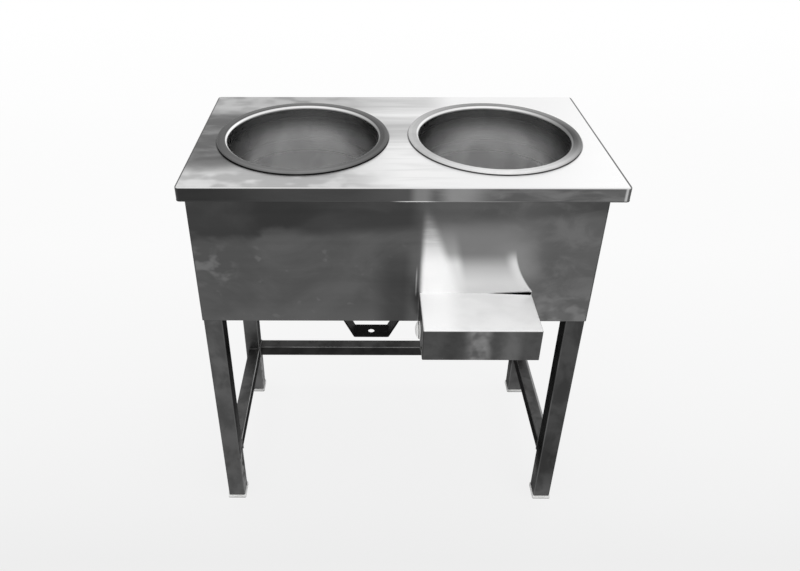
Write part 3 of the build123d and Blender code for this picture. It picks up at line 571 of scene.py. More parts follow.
# %% [markdown]
# The tank walls are the same sheet, but their outer tone is painted dark, as a painted reflection of what
# lies low in front of them. They have lighter clouds where hands and cloths have been, small pale spots where
# drops have dried, and a band of painted shade under the overhang whose lower edge slopes a little and drifts
# on the left. The inner side has no painted reflection and stays bright, so the tone also depends on which
# way the sheet looks.

# %% Finish of the tank walls
def plain_sum(operation, *terms):
    """A sum that isn't held to the range of a mask."""
    return calc(operation, *terms, clamp=False)


def overhang_shade(tree, at):
    """Mask of the shade under the overhang."""
    slope, drift_height = -0.088, 0.034
    drifts = marks(tree, (9.0, 9.0, 14.0), 0.68, 0.32, (1.0, 6.0, 3.0), 3.0)
    drifts = both(drifts, drift_height, band(at["X"], -0.15, -0.25))
    height = plain_sum("MULTIPLY_ADD", at["X"], slope, at["Z"])
    return band(plain_sum("SUBTRACT", height, drifts), 0.752, 0.778)


def wall_finish(name, packing, inward, extra_marks=None, light_part=None):
    """Brushed wall sheet, painted dark as reflection outside and bright on its inner side. A wall may have
    marks and a lighter part of its own.
    """
    dried_drop, wiped_shade, shade_depth, wiped_to_grain = 0.19, 0.84, 0.58, 9.0
    finish, tree, shader = new_finish(name)
    at = spot(tree)
    broad = marks(tree, (6.0, 6.0, 9.0), 0.40, 0.66, (2.0, 5.0, 1.0))
    drops = marks(tree, (38.0, 38.0, 44.0), 0.65, 0.77, (4.0, 0.0, 9.0), 1.5)
    # The dark base tone of the wall is painted reflection.
    tone = lay(blend_tones(broad, 0.100, 0.130), dried_drop, drops, band(at["Z"], 0.75, 0.70), 0.5)
    wiped_packing = tuple(size / wiped_to_grain for size in packing)
    tone = wash(tone, wiped_shade, marks(tree, wiped_packing, 0.40, 0.70, (1.0, 8.0, 3.0)), 0.4)
    if extra_marks:
        tone = extra_marks(tree, at, tone)
    shade = overhang_shade(tree, at)
    if light_part:
        shade = both(shade, calc("SUBTRACT", 1.0, light_part(at)))
    tone = wash(tone, shade_depth, shade)
    facing = vector_calc("DOT_PRODUCT", normal_on(tree), inward)["Value"]
    tone = lay(tone, blend_tones(broad, 0.58, 0.70), band(facing, 0.3, 0.7))
    metal_sheen(shader, tone, grain(tree, packing), height=0.00002, roughness=(0.28, 0.40))
    return finish


no_inner_side = (0.0, 0.0, 0.0)
left_steel = wall_finish("left_steel", grain_along_y, (1.0, 0.0, 0.0))
right_steel = wall_finish("right_steel", grain_along_y, (-1.0, 0.0, 0.0))
rear_steel = wall_finish("rear_steel", grain_along_x, (0.0, -1.0, 0.0))
floor_steel = wall_finish("tank_floor_steel", grain_along_x, (0.0, 0.0, 1.0))
seam_steel = wall_finish("seam_steel", grain_upright, no_inner_side)
print("finishes", left_steel.name, right_steel.name, rear_steel.name, floor_steel.name, seam_steel.name)

# %% [markdown]
# The front wall has marks of its own. Its right third is paler and cloudy, with smudges low down. There
# are smudges at the left edge too, the darkest shade lies left of the middle, the lower edge is paler, and a
# dark band stands beside the control box, with a soft grey haze of painted reflection over it.

# %% Smudges of the front wall
def front_smudges(tree, at, tone):
    """Smudges, darker and paler places of the front wall, laid over its plain tone."""
    cloudy = marks(tree, (15.0, 15.0, 22.0), 0.38, 0.66, (3.0, 6.0, 2.0))
    tone = lay(tone, blend_tones(cloudy, 0.130, 0.190), band(at["X"], 0.06, 0.26), 0.75)
    smudges = marks(tree, (26.0, 26.0, 36.0), 0.44, 0.64, (8.0, 3.0, 5.0), 2.0)
    low_right = area(at, X=(0.24, 0.28), Z=(0.635, 0.585))
    left_edge = area(at, X=(-0.305, -0.345), Z=(0.62, 0.66, 0.70, 0.74))
    for smudged, smudge_tone in ((low_right, 0.25), (left_edge, 0.23)):
        tone = lay(tone, smudge_tone, smudged, smudges, 0.6)
    darkest = area(at, X=(-0.33, -0.25, -0.20, -0.08), Z=(0.725, 0.775))
    low_edge = area(at, Z=(0.605, 0.550), X=(-0.36, -0.28, -0.06, 0.00))
    tone = lay(wash(tone, 0.78, darkest), 0.150, low_edge, 0.5)
    beside_box = area(at, X=(-0.06, -0.01, 0.006, 0.030), Z=(0.74, 0.69))
    # The grey haze over the box is painted reflection of the lid.
    haze = area(at, X=(0.030, 0.060, 0.190, 0.300), Z=(0.80, 0.745))
    return lay(wash(tone, 0.66, beside_box), 0.250, haze, 0.80)


print("smudges from", front_smudges.__name__)

# %% [markdown]
# Over the control box stands a white glare, where the bright lid is mirrored and smeared upwards by the
# brushed grain. Its right part is a pale field with a curved right border, a bright streak along that
# border and a faint halo outside it. Light could do this only for one place to look from, so the glare is
# painted into the sheet's tone as a painted reflection. The curve is a parabola of the height below its top.

# %% Mirror of the lid
def lid_field(at, tone):
    """The pale field that mirrors the lid, with its streak and its halo."""
    top_x, top_z, lean, curl = 0.2228, 0.7044, 0.156, 3.69
    drop = plain_sum("SUBTRACT", top_z, at["Z"])
    border = plain_sum("MULTIPLY", drop, plain_sum("MULTIPLY_ADD", drop, curl, lean))
    past_border = plain_sum("SUBTRACT", plain_sum("SUBTRACT", at["X"], top_x), border)
    halo = area(at, Z=(0.635, 0.680, 0.715, 0.750), X=(0.16, 0.22))
    tone = lay(tone, 0.270, band(past_border, 0.055, 0.004), halo, 0.8)
    inside = both(band(past_border, 0.0015, -0.0030), band(at["X"], 0.060, 0.080))
    inside = both(inside, area(at, Z=(0.610, 0.613), X=(0.2625, 0.2600)))
    field_tone = blend_tones(band(at["Z"], 0.690, 0.635), 0.51, 0.79)
    tone = lay(tone, field_tone, inside, band(at["Z"], 0.712, 0.672))
    streak = both(band(past_border, -0.026, -0.004), band(at["Z"], 0.722, 0.682))
    return lay(tone, 0.88, inside, streak, 0.8)


print("mirrored lid from", lid_field.__name__)

# %% [markdown]
# The rest of the glare is a white column over the lid's left end, with a paler spill on its right, both
# with slanted sides, all painted reflection. A dark wedge of painted shade shows the gap over the lid's right
# end, and a short bright line of painted reflection stands left of the column. Over the box the mirrored
# floor also lightens the shade of the overhang.

# %% Finish of the front wall
def slanted(at, low_x, high_x):
    """Distance in x from a line on the wall, given where it is at a low and at a high place."""
    low_z, high_z = 0.62, 0.76
    slope = (high_x - low_x) / (high_z - low_z)
    from_line = plain_sum("SUBTRACT", at["X"], low_x - slope * low_z)
    return plain_sum("MULTIPLY_ADD", at["Z"], -slope, from_line)


def front_marks(tree, at, tone):
    """All marks of the front wall: smudges, the painted reflection of the lid with its spill, column and
    line, and painted shade in the gap.
    """
    gap_shadow_tone, gap_slope = 0.010, -0.076
    tone = lid_field(at, front_smudges(tree, at, tone))
    # The dark wedge in the gap over the lid's right end is painted shade.
    gap_height = plain_sum("MULTIPLY_ADD", at["X"], gap_slope, at["Z"])
    gap = both(band(at["X"], 0.150, 0.190, 0.2600, 0.2625), band(gap_height, 0.6000, 0.5985))
    tone = lay(tone, gap_shadow_tone, gap)
    spill = both(band(slanted(at, 0.130, 0.102), 0.009, -0.009), band(at["X"], 0.037, 0.050))
    spill_tone = blend_tones(band(at["Z"], 0.715, 0.680), 0.42, 0.88)
    tone = lay(tone, spill_tone, spill, band(at["Z"], 0.775, 0.695), 0.85)
    column = both(band(slanted(at, 0.116, 0.0665), 0.011, -0.011), band(at["X"], 0.0370, 0.0510))
    streaks = marks(tree, (12.0, 12.0, 140.0), 0.35, 0.65, (5.0, 2.0, 1.0))
    streaks = both(streaks, band(at["Z"], 0.71, 0.75), 0.35)
    unstreaked = calc("SUBTRACT", 1.0, streaks)
    tone = lay(tone, 1.0, column, band(at["Z"], 0.825, 0.662), unstreaked)
    # The short bright line left of the column is painted reflection.
    line = area(at, X=(0.0310, 0.0325, 0.0335, 0.0350), Z=(0.605, 0.62, 0.65, 0.685))
    return lay(tone, 0.42, line, 0.9)


def over_box(at):
    """Mask of the part over the control box."""
    return both(band(at["X"], 0.010, 0.045, 0.20, 0.38), 0.75)


front_steel = wall_finish("front_steel", grain_along_x, (0.0, 1.0, 0.0), front_marks, over_box)
print("finish", front_steel.name)

# %% [markdown]
# The legs and stretchers are square tube, duller than sheet. Their outer faces are lighter, while the
# faces that look inwards, under the table, are painted almost black as shade. A group marks those: on the
# left half they face right and on the right half left.

# %% Inward faces
inward_faces, _, result = new_group("inward_faces", {}, {"Mask": 0.0})
right_half = rescale(spot(inward_faces)["X"], From_Min=-0.01, From_Max=0.01)
left_half = calc("SUBTRACT", 1.0, right_half)
rightward = parts_of(normal_on(inward_faces))["X"]
to_left = calc("MULTIPLY", calc("MULTIPLY", rightward, -1.0), right_half)
to_right = calc("MULTIPLY", calc("MAXIMUM", rightward, 0.0), left_half)
feed(result["Mask"], calc("ADD", to_left, to_right))
print("group", inward_faces.name)

# %% [markdown]
# The tone of a tube follows its facing, as painted light and shade. Clouds and blotches dull it, smoke from
# welding has darkened it near the joints, and the folds between its faces carry a painted highlight, a little
# brighter. The legs' inner faces are paler low down, with pale patches, and the right-hand legs are painted
# darker as shade except near the floor. On the side bars only the right-hand folds and the outer edge of the
# right bar carry the painted highlight.

# %% Finish of the tubes
def fold_highlights(tree, at, tone, right_folds):
    """Mask of the painted highlights on the folds: all, or those on the right with the right bar's edge."""
    rubbing_and_highlight = marks(tree, (9.0, 9.0, 9.0), 0.34, 0.60, (3.0, 1.0, 6.0), 2.0)
    fold = calc("MAXIMUM", tone["Bend"], tone["Upright Bend"])
    fold = both(fold, rescale(rubbing_and_highlight, To_Min=0.25, To_Max=0.85))
    if not right_folds:
        return fold
    fold = both(fold, band(parts_of(normal_on(tree))["X"], 0.0, 0.3))
    bar_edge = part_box("right_stretcher")[1].x
    # A painted highlight along the outer edge of the right bar.
    edge_highlight = band(at["X"], bar_edge - 0.0065, bar_edge - 0.0045)
    return calc("MAXIMUM", fold, both(edge_highlight, tone["Upward"], 0.40))


def tube_finish(name, packing, tones, right_shade=1.0, fold_highlight_tone=0.20, low_tones=None, right_folds=False):
    """Dull drawn tube with painted light and shade by facing. The tones are for left and right inner faces,
    and for outer, front and top faces.
    """
    inner_left, inner_right, *open_tones = tones
    weld_smoke = (0.40, 0.38, 0.36, 1.0)
    finish, tree, shader = new_finish(name)
    at = spot(tree)
    right_half = band(at["X"], -0.01, 0.01)
    # The right-hand legs are painted darker as shade, except near the floor.
    right_shaded = both(right_half, band(at["Z"], 0.0, 0.10))
    outer, front, top = (blend_tones(right_shaded, tone, tone * right_shade) for tone in open_tones)
    if low_tones:
        low_left, low_right, pale = low_tones
        patches = marks(tree, (60.0, 60.0, 45.0), 0.34, 0.52, (2.0, 9.0, 4.0), 2.0)
        pale_low = blend_tones(both(patches, band(at["Z"], 0.19, 0.13)), low_left, pale)
        inner_left = blend_tones(band(at["Z"], 0.45, 0.12), inner_left, pale_low)
        inner_right = blend_tones(band(at["Z"], 0.16, 0.06), inner_right, low_right)
    inner = blend_tones(right_half, inner_left, inner_right)
    side = lay(outer, inner, use_group(tree, inward_faces)["Mask"])
    tone = use_group(tree, facing_tone, Side=side, Front=front, Top=top)
    cloud = marks(tree, (24.0, 24.0, 17.0), 0.36, 0.66, (6.0, 3.0, 2.0), 3.0)
    colour = wash(tone["Color"], 0.58, cloud, 0.80)
    blotch = marks(tree, (48.0, 48.0, 30.0), 0.54, 0.66, (1.0, 4.0, 7.0))
    joint = band(at["Z"], 0.075, 0.110, 0.155, 0.215)
    colour = wash(colour, weld_smoke, rescale(blotch, To_Min=0.15, To_Max=0.40), joint)
    colour = lay(colour, fold_highlight_tone, fold_highlights(tree, at, tone, right_folds))
    metal_sheen(shader, colour, grain(tree, packing), height=0.00002, roughness=(0.36, 0.48))
    shader.inputs["Specular Tint"].default_value = dull_tint
    return finish


leg_steel = tube_finish(
    "leg_steel", grain_upright, (0.045, 0.060, 0.100, 0.136, 0.105),
    right_shade=0.62, fold_highlight_tone=0.17, low_tones=(0.125, 0.200, 0.480),
)
side_bar_steel = tube_finish(
    "side_bar_steel", grain_along_y, (0.030, 0.050, 0.060, 0.060, 0.142),
    right_shade=0.90, fold_highlight_tone=0.62, right_folds=True,
)
cross_bar_steel = tube_finish(
    "cross_bar_steel", grain_along_x, (0.030, 0.030, 0.030, 0.036, 0.064), fold_highlight_tone=0.34
)
weld_steel = tube_finish("weld_steel", (300.0, 300.0, 300.0), (0.050, 0.050, 0.090, 0.100, 0.120))
print("finishes", leg_steel.name, side_bar_steel.name, cross_bar_steel.name, weld_steel.name)

# %% [markdown]
# The control box is folded from bright sheet. Its lid is painted nearly white for the light from above,
# whitest on the left and a little cloudy on the right. Its front is dull and mottled with faint upright bands
# and one pale swirl, its left face is painted dark as shade, and the folds carry painted highlights. So much
# of the lid's white is scattered light that its steel is made less mirror-like there.

# %% Finish of the control box
box_steel, tree, shader = new_finish("box_steel")
at = spot(tree)
front_tone = blend_tones(band(at["X"], 0.060, 0.098, 0.100, 0.125), 0.092, 0.070)
front_tone = lay(front_tone, 0.160, band(at["X"], 0.175, 0.203, 0.212, 0.232), 0.8)
hooks = marks(tree, (40.0, 40.0, 40.0), 0.36, 0.64, (9.0, 4.0, 1.0), 1.5)
pale_patch = band(at["X"], 0.114, 0.138, 0.152, 0.176)
front_tone = lay(front_tone, blend_tones(hooks, 0.290, 0.130), pale_patch, 0.9)
swirls = marks(tree, (46.0, 46.0, 46.0), 0.36, 0.68, (5.0, 1.0, 2.0), 2.0)
front_tone = wash(front_tone, 0.70, swirls, 0.6)
lid_clouds = marks(tree, (18.0, 22.0, 18.0), 0.36, 0.70, (4.0, 2.0, 0.0), 2.0)
lid_tone = blend_tones(band(at["X"], 0.080, 0.125), 0.98, blend_tones(lid_clouds, 0.88, 0.81))
side_tone = blend_tones(band(at["X"], 0.12, 0.18), 0.05, 0.13)
tone = use_group(tree, facing_tone, Side=side_tone, Front=front_tone, Top=lid_tone)
# The level folds take painted highlights.
colour = lay(tone["Color"], 0.85, tone["Bend"], 0.6)
colour = lay(colour, 0.035, tone["Upright Bend"], 0.6)
metal_sheen(shader, colour, grain(tree, grain_along_x), height=0.00002, roughness=(0.34, 0.46))
lid_lustre = 0.15
feed(shader.inputs["Metallic"], rescale(tone["Upward"], To_Min=1.0, To_Max=lid_lustre))
print("finish", box_steel.name)

# %% [markdown]
# The pots are spun on a lathe, so their grain runs in rings around the pot's own axis. Rings come from the
# distance to that axis, which is known from the solid, so each pot gets its own copy of the finish. The
# flange and the bead around it are painted lighter on some sides and darker on others, as painted reflection,
# and the soft bend inside them carries a painted highlight. Each of the three has a tone for the left, right,
# front and rear. The upper inner wall is painted dark, as painted reflection.

# %% Finish of the pots
def around(way, tones):
    """A tone that changes around the axis, from tones at the left, right, front and rear."""
    left, right, front, rear = tones
    sideways = blend_tones(rescale(way["X"], From_Min=-1.0), left, right)
    lengthways = blend_tones(rescale(way["Y"], From_Min=-1.0), front, rear)
    return blend_tones(calc("MULTIPLY", way["Y"], way["Y"]), sideways, lengthways)


def pot_finish(name, node, flange_tones, bead_tones, mouth_tones):
    """Bright spun steel with rings around the axis of one pot."""
    rim_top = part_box(node)[1].z
    finish, tree, shader = new_finish(name)
    height = spot(tree)["Z"]
    offset = level_way(tree, middle_of(node))
    radius = vector_calc("LENGTH", offset)["Value"]
    way = parts_of(vector_calc("NORMALIZE", offset)["Vector"])
    rings = noise(add(tree, "ShaderNodeCombineXYZ", X=radius, Y=height).outputs[0], 330.0, 3.0, 0.6)
    cloud = marks(tree, (11.0, 11.0, 8.0), 0.42, 0.66, (8.0, 1.0, 5.0))
    drops = marks(tree, (70.0, 70.0, 50.0), 0.60, 0.70, (1.0, 6.0, 2.0))
    tone = lay(blend_tones(cloud, 0.74, 0.58), 0.48, rings, 0.35)
    tone = wash(tone, 0.7, drops, 0.35)
    # The upper inner wall is painted dark, as painted reflection.
    near_rim = band(height, rim_top - 0.070, rim_top - 0.020)
    tone = wash(tone, 0.36, band(radius, 0.145, 0.150), near_rim)
    # A painted highlight on the bend at the mouth, and painted reflection on the flange and the bead, by
    # side.
    on_rim = band(height, rim_top - 0.008, rim_top - 0.005)
    tone = lay(tone, around(way, mouth_tones), band(radius, 0.1522, 0.1536), on_rim)
    rim_tone = lay(around(way, flange_tones), around(way, bead_tones), band(radius, 0.1640, 0.1690))
    for dulling, amount in ((cloud, 0.5), (rings, 0.35)):
        rim_tone = wash(rim_tone, 0.75, dulling, amount)
    colour = lay(tone, rim_tone, band(radius, 0.1555, 0.1575), on_rim)
    metal_sheen(shader, colour, rings, height=0.00004, roughness=(0.21, 0.31))
    return finish


rim_tones = {
    "left_pot": {
        "flange_tones": (0.070, 0.040, 0.160, 0.125),
        "bead_tones": (0.050, 0.085, 0.230, 0.120),
        "mouth_tones": (0.95, 0.22, 0.60, 0.85),
    },
    "right_pot": {
        "flange_tones": (0.52, 0.030, 0.84, 0.28),
        "bead_tones": (0.56, 0.085, 0.90, 0.26),
        "mouth_tones": (0.85, 0.16, 0.60, 0.90),
    },
}
pot_steels = {node: pot_finish(f"{node}_steel", node, **tones) for node, tones in rim_tones.items()}
print("finishes", [finish.name for finish in pot_steels.values()])

# %% [markdown]
# The hanger strap is black paint on flat bar: almost black, with a dull sheen, orange-peel bumps and a few
# rubbed places where the paint is thin.

# %% Finish of the strap
strap_black, tree, shader = new_finish("strap_black")
rubbing_and_highlight = marks(tree, (40.0, 40.0, 40.0), 0.58, 0.74, (3.0, 3.0, 3.0))
feed(shader.inputs["Base Color"], lay(0.006, 0.035, rubbing_and_highlight, 0.5))
roughen(shader, rubbing_and_highlight, (0.55, 0.4))
raise_lines(shader, noise(place_on(tree), 900.0, 2.0), height=0.0002)
shader.inputs["Specular IOR Level"].default_value = 0.06
print("finish", strap_black.name)

# %% [markdown]
# Moulded plastic and rubber differ from metal by a coloured body and a colourless sheen. One function makes
# them all: a body colour, a slightly darker grime in clouds, and a fine moulded texture. The feet have a dark
# line at the floor, partly dirt and partly painted contact shadow, and the knob has a dark line where its
# skirt begins.

# %% Finishes of the moulded pieces
def moulded_finish(name, colour, grime_and_shadow_tone, roughness, texture, dark_line=None):
    """Moulded plastic or rubber. A dark line is an axis, the limits of a band along it and a tone."""
    finish, tree, shader = new_finish(name)
    dirty = marks(tree, (35.0, 35.0, 35.0), 0.45, 0.72, (2.0, 7.0, 4.0))
    body = wash((*colour, 1.0), grime_and_shadow_tone, dirty)
    if dark_line:
        axis, limits, line_tone = dark_line
        body = lay(body, line_tone, band(spot(tree)[axis], *limits))
    feed(shader.inputs["Base Color"], body)
    roughen(shader, dirty, (roughness, roughness + 0.15))
    raise_lines(shader, noise(place_on(tree), 1500.0, 2.0), texture)
    return finish


# The feet's dark line at the floor is partly dirt and partly painted contact shadow.
floor_dirt_and_shadow = ("Z", (-0.0010, -0.0005, 0.0010, 0.0026), 0.16)
knob_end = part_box("thermostat_knob")[1].x
skirt_line = ("X", tuple(knob_end - inset for inset in (0.0042, 0.0036, 0.0028, 0.0022)), 0.040)
foot_white = moulded_finish("foot_white", (0.88, 0.88, 0.87), 0.80, 0.45, 0.00003, floor_dirt_and_shadow)
knob_white = moulded_finish("knob_white", (0.95, 0.95, 0.94), 0.95, 0.30, 0.00001, skirt_line)
plain_black = moulded_finish("plain_black_plastic", (0.025, 0.025, 0.026), 0.7, 0.42, 0.00004)
seal_rubber = moulded_finish("seal_rubber", (0.03, 0.03, 0.03), 0.6, 0.70, 0.00006)
off_white = moulded_finish("off_white_insulator", (0.78, 0.76, 0.70), 0.85, 0.55, 0.00002)
sleeve_brown = moulded_finish("sleeve_brown", (0.20, 0.13, 0.08), 0.8, 0.60, 0.00003)
print("finishes", foot_white.name, knob_white.name, plain_black.name, seal_rubber.name)

# %% [markdown]
# The fittings are small turned and pressed metals: brass, copper, zinc-plated steel and plain steel. They
# share a finish that goes from a clean tone to a tarnished one in clouds, with fine turning lines.

# %% Finishes of the small metals
def fitting_finish(name, clean, tarnished, roughness):
    """Turned or plated metal, tarnished in clouds."""
    finish, tree, shader = new_finish(name)
    aged = marks(tree, (45.0, 45.0, 45.0), 0.38, 0.68, (9.0, 2.0, 5.0))
    colour = blend_tones(aged, (*clean, 1.0), (*tarnished, 1.0))
    turning_lines = grain(tree, (900.0, 900.0, 900.0))
    metal_sheen(shader, colour, turning_lines, 0.00001, (roughness, roughness + 0.12))
    return finish


turned_brass = fitting_finish("turned_brass", (0.72, 0.52, 0.22), (0.46, 0.32, 0.13), 0.24)
drawn_copper = fitting_finish("drawn_copper", (0.74, 0.40, 0.26), (0.42, 0.21, 0.13), 0.28)
zinc_plate = fitting_finish("zinc_plate", (0.55, 0.55, 0.52), (0.38, 0.37, 0.33), 0.32)
plain_steel = fitting_finish("plain_steel", (0.50, 0.50, 0.49), (0.30, 0.29, 0.27), 0.26)
dull_steel = fitting_finish("dull_steel", (0.14, 0.14, 0.135), (0.08, 0.08, 0.075), 0.40)
print("finishes", turned_brass.name, drawn_copper.name, zinc_plate.name, plain_steel.name)

# %% [markdown]
# Each solid already names the material slot it takes its finish from. Most slots have one finish. The
# walls, the bars and the pots have one for each direction of their grain, and the cover's screws are
# duller than other plain steel, so those are given by the node's own name.

# %% Give each solid its finish
slot_finishes = {
    "top_sheet": top_steel,
    "wall_sheet": rear_steel,
    "frame_tube": leg_steel,
    "foot_plastic": foot_white,
    "strap_paint": strap_black,
    "zinc": zinc_plate,
    "box_sheet": box_steel,
    "knob_plastic": knob_white,
    "black_plastic": plain_black,
    "inner_steel": plain_steel,
    "brass": turned_brass,
    "copper": drawn_copper,
    "rubber": seal_rubber,
    "pale_insulator": off_white,
    "lead_sleeve": sleeve_brown,
}
node_finishes = {
    "front_wall": front_steel,
    "left_wall": left_steel,
    "right_wall": right_steel,
    "tank_floor": floor_steel,
    "left_stretcher": side_bar_steel,
    "right_stretcher": side_bar_steel,
    "cross_stretcher": cross_bar_steel,
    "cover_screws": dull_steel,
    **pot_steels,
}
for name, solid in nodes.items():
    slot = solid.material_slots[0]
    slot.material = node_finishes.get(name) or slot_finishes[slot.material.name]
print("dressed", len(nodes), "solids")

# %% [markdown]
# The pots are spun from one disc of sheet on a lathe: floor, rounded corner, wall, a soft bend at the mouth,
# a flat flange and a bead that is rolled under at its edge. The solid has that shape in plain steps. Here
# the same outline is drawn as points, so that the bends are smooth and the wall and the floor can keep the
# faint ridges that the spinning roller leaves.

# %% Section of a pot
def arc(centre, radius, start, end, steps):
    """Points of an arc in the plane of radius and height, from one angle to another in degrees."""
    angles = [math.radians(start + (end - start) * step / steps) for step in range(steps + 1)]
    return [(centre[0] + radius * math.cos(angle), centre[1] + radius * math.sin(angle)) for angle in angles]


pot_sheet = 0.0012
pot_wall_radius = 0.152
pot_rim_bend = 0.008
pot_floor_corner = 0.030
pot_bead = 0.0023
spinning_ridge = 0.00006
spinning_pitch = 0.011
floor_ring_radii = (0.052, 0.104)
floor_ring_width = 0.0045
floor_ring_height = 0.0007
floor_steps = 60
wall_steps = 44


def pot_outline(rim_radius, rim_top, under):
    """Section of a pot, from the middle of its floor over the rim to the middle of its underside."""
    floor_z = under + pot_sheet
    corner_centre = (pot_wall_radius - pot_floor_corner, floor_z + pot_floor_corner)
    bend_centre = (pot_wall_radius + pot_rim_bend, rim_top - pot_rim_bend)
    bead_centre = (rim_radius - pot_bead, rim_top - pot_bead)
    outline = []
    for step in range(floor_steps):
        radius = corner_centre[0] * step / floor_steps
        lift = sum(math.exp(-(((radius - ring) / floor_ring_width) ** 2)) for ring in floor_ring_radii)
        outline.append((radius, floor_z + floor_ring_height * lift))
    outline += arc(corner_centre, pot_floor_corner, -90.0, 0.0, 16)
    wall_rise = bend_centre[1] - corner_centre[1]
    for step in range(1, wall_steps):
        height = corner_centre[1] + wall_rise * step / wall_steps
        ridge = spinning_ridge * math.sin(2.0 * math.pi * height / spinning_pitch)
        outline.append((pot_wall_radius + ridge, height))
    outline += arc(bend_centre, pot_rim_bend, 180.0, 90.0, 14)
    outline += arc(bead_centre, pot_bead, 90.0, -180.0, 20)
    outline.append((bead_centre[0] - pot_bead, rim_top - pot_sheet))
    outline += arc(bend_centre, pot_rim_bend - pot_sheet, 90.0, 180.0, 10)
    outline += arc(corner_centre, pot_floor_corner + pot_sheet, 0.0, -90.0, 16)
    outline.append((0.0, under))
    return outline


print("pot wall", pot_wall_radius, "m, sheet", pot_sheet, "m")

# %% [markdown]
# The outline is then turned around the axis, which is what the lathe does. A Screw modifier could do it too,
# but with plain corners and faces the two ends close on the axis without a hole. Each spun pot takes the
# place of its solid and rides on the body of the same name.

# %% Spin the pots
def new_piece(name, corners, faces, body, finish):
    """A smooth mesh piece that rides on a body and takes its finish."""
    mesh = bpy.data.meshes.new(name)
    mesh.from_pydata(corners, [], faces)
    mesh.validate()
    mesh.shade_smooth()
    mesh.materials.append(finish)
    piece = bpy.data.objects.new(name, mesh)
    bpy.context.scene.collection.objects.link(piece)
    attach(piece, body)
    return piece


def spin(outline, axis, turns):
    """Turn an outline that starts and ends on the axis, and give back corners and faces."""
    corners = [(axis[0], axis[1], outline[0][1]), (axis[0], axis[1], outline[-1][1])]
    rings = outline[1:-1]
    for radius, height in rings:
        for turn in range(turns):
            angle = 2.0 * math.pi * turn / turns
            corners.append((axis[0] + radius * math.cos(angle), axis[1] + radius * math.sin(angle), height))
    faces = []
    last = 2 + (len(rings) - 1) * turns
    for turn in range(turns):
        following = (turn + 1) % turns
        faces.append((0, 2 + turn, 2 + following))
        faces.append((1, last + following, last + turn))
        for ring in range(len(rings) - 1):
            here, above = 2 + ring * turns, 2 + (ring + 1) * turns
            faces.append((here + turn, above + turn, above + following, here + following))
    return corners, faces


pot_turns = 192
for pot, finish in pot_steels.items():
    low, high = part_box(pot)
    outline = pot_outline((high.x - low.x) / 2.0, high.z, low.z)
    corners, faces = spin(outline, middle_of(pot), pot_turns)
    spun = new_piece(f"spun_{pot}", corners, faces, pot, finish)
    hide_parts(pot)
    print("spun", pot, len(outline), "points around", [round(v, 3) for v in middle_of(pot)])

# %% [markdown]
# The hem of the top and the welds are all beads: round rods that follow a path on a flat plane. A bevelled
# curve could give a plain rod, but a weld swells and shrinks along its way, so the bead is made ring by ring
# with a radius for each step. First the path: a rounded rectangle, and any path split into even steps.

# %% Paths of the beads
def rounded_loop(centre, half_size, corner, steps):
    """Points of a rounded rectangle in its own plane, evenly turned at the corners."""
    points = []
    for side_x, side_y, start in ((1, 1, 0.0), (-1, 1, 90.0), (-1, -1, 180.0), (1, -1, 270.0)):
        bend_x = centre[0] + side_x * (half_size[0] - corner)
        bend_y = centre[1] + side_y * (half_size[1] - corner)
        points += arc((bend_x, bend_y), corner, start, start + 90.0, steps)
    return points


def even_points(points, spacing, closed):
    """Points at an even spacing along a path."""
    path = [Vector(point) for point in points]
    if closed:
        path.append(path[0])
    lengths = [0.0]
    for here, there in zip(path, path[1:]):
        lengths.append(lengths[-1] + (there - here).length)
    count = max(3, round(lengths[-1] / spacing))
    spread = []
    run = 0
    for step in range(count if closed else count + 1):
        reach = lengths[-1] * step / count
        while run < len(path) - 2 and lengths[run + 1] < reach:
            run += 1
        stretch = (reach - lengths[run]) / max(lengths[run + 1] - lengths[run], 1e-9)
        spread.append(path[run].lerp(path[run + 1], stretch))
    return spread


print("helpers rounded_loop and even_points")

# %% [markdown]
# Then the bead: a ring of corners around each point of the path, joined to the next ring by faces. An open
# bead gets a flat face at each end. Beads that belong together become one piece.

# %% Beads
def bead_along(points, radius_at, normal, closed, sides=8):
    """A round bead along a flat path: corners and faces. radius_at gives its radius at each step."""
    corners = []
    count = len(points)
    for step, point in enumerate(points):
        after = points[(step + 1) % count] if closed else points[min(step + 1, count - 1)]
        before = points[step - 1] if closed else points[max(step - 1, 0)]
        across = (after - before).normalized().cross(normal)
        for side in range(sides):
            angle = 2.0 * math.pi * side / sides
            corners.append(point + radius_at(step) * (across * math.cos(angle) + normal * math.sin(angle)))
    faces = []
    for step in range(count if closed else count - 1):
        here, there = step * sides, ((step + 1) % count) * sides
        for side in range(sides):
            following = (side + 1) % sides
            faces.append((here + side, here + following, there + following, there + side))
    if not closed:
        faces.append(tuple(reversed(range(sides))))
        faces.append(tuple(range((count - 1) * sides, count * sides)))
    return [tuple(corner) for corner in corners], faces


def bead_piece(name, beads, finish):
    """One piece of the table from several beads."""
    corners, faces = [], []
    for bead_corners, bead_faces in beads:
        first = len(corners)
        corners += bead_corners
        faces += [tuple(first + index for index in face) for face in bead_faces]
    new_piece(name, corners, faces, "table", finish)
    print("piece", name, "of", len(beads), "beads")


print("helpers bead_along and bead_piece")

# %% [markdown]
# The lower edge of the folded top is hemmed: the last few millimetres are folded back inside, so that no raw
# edge can cut a hand. What is seen is a thin round line that catches the light. It is a bead that follows the
# edge around all four corners.

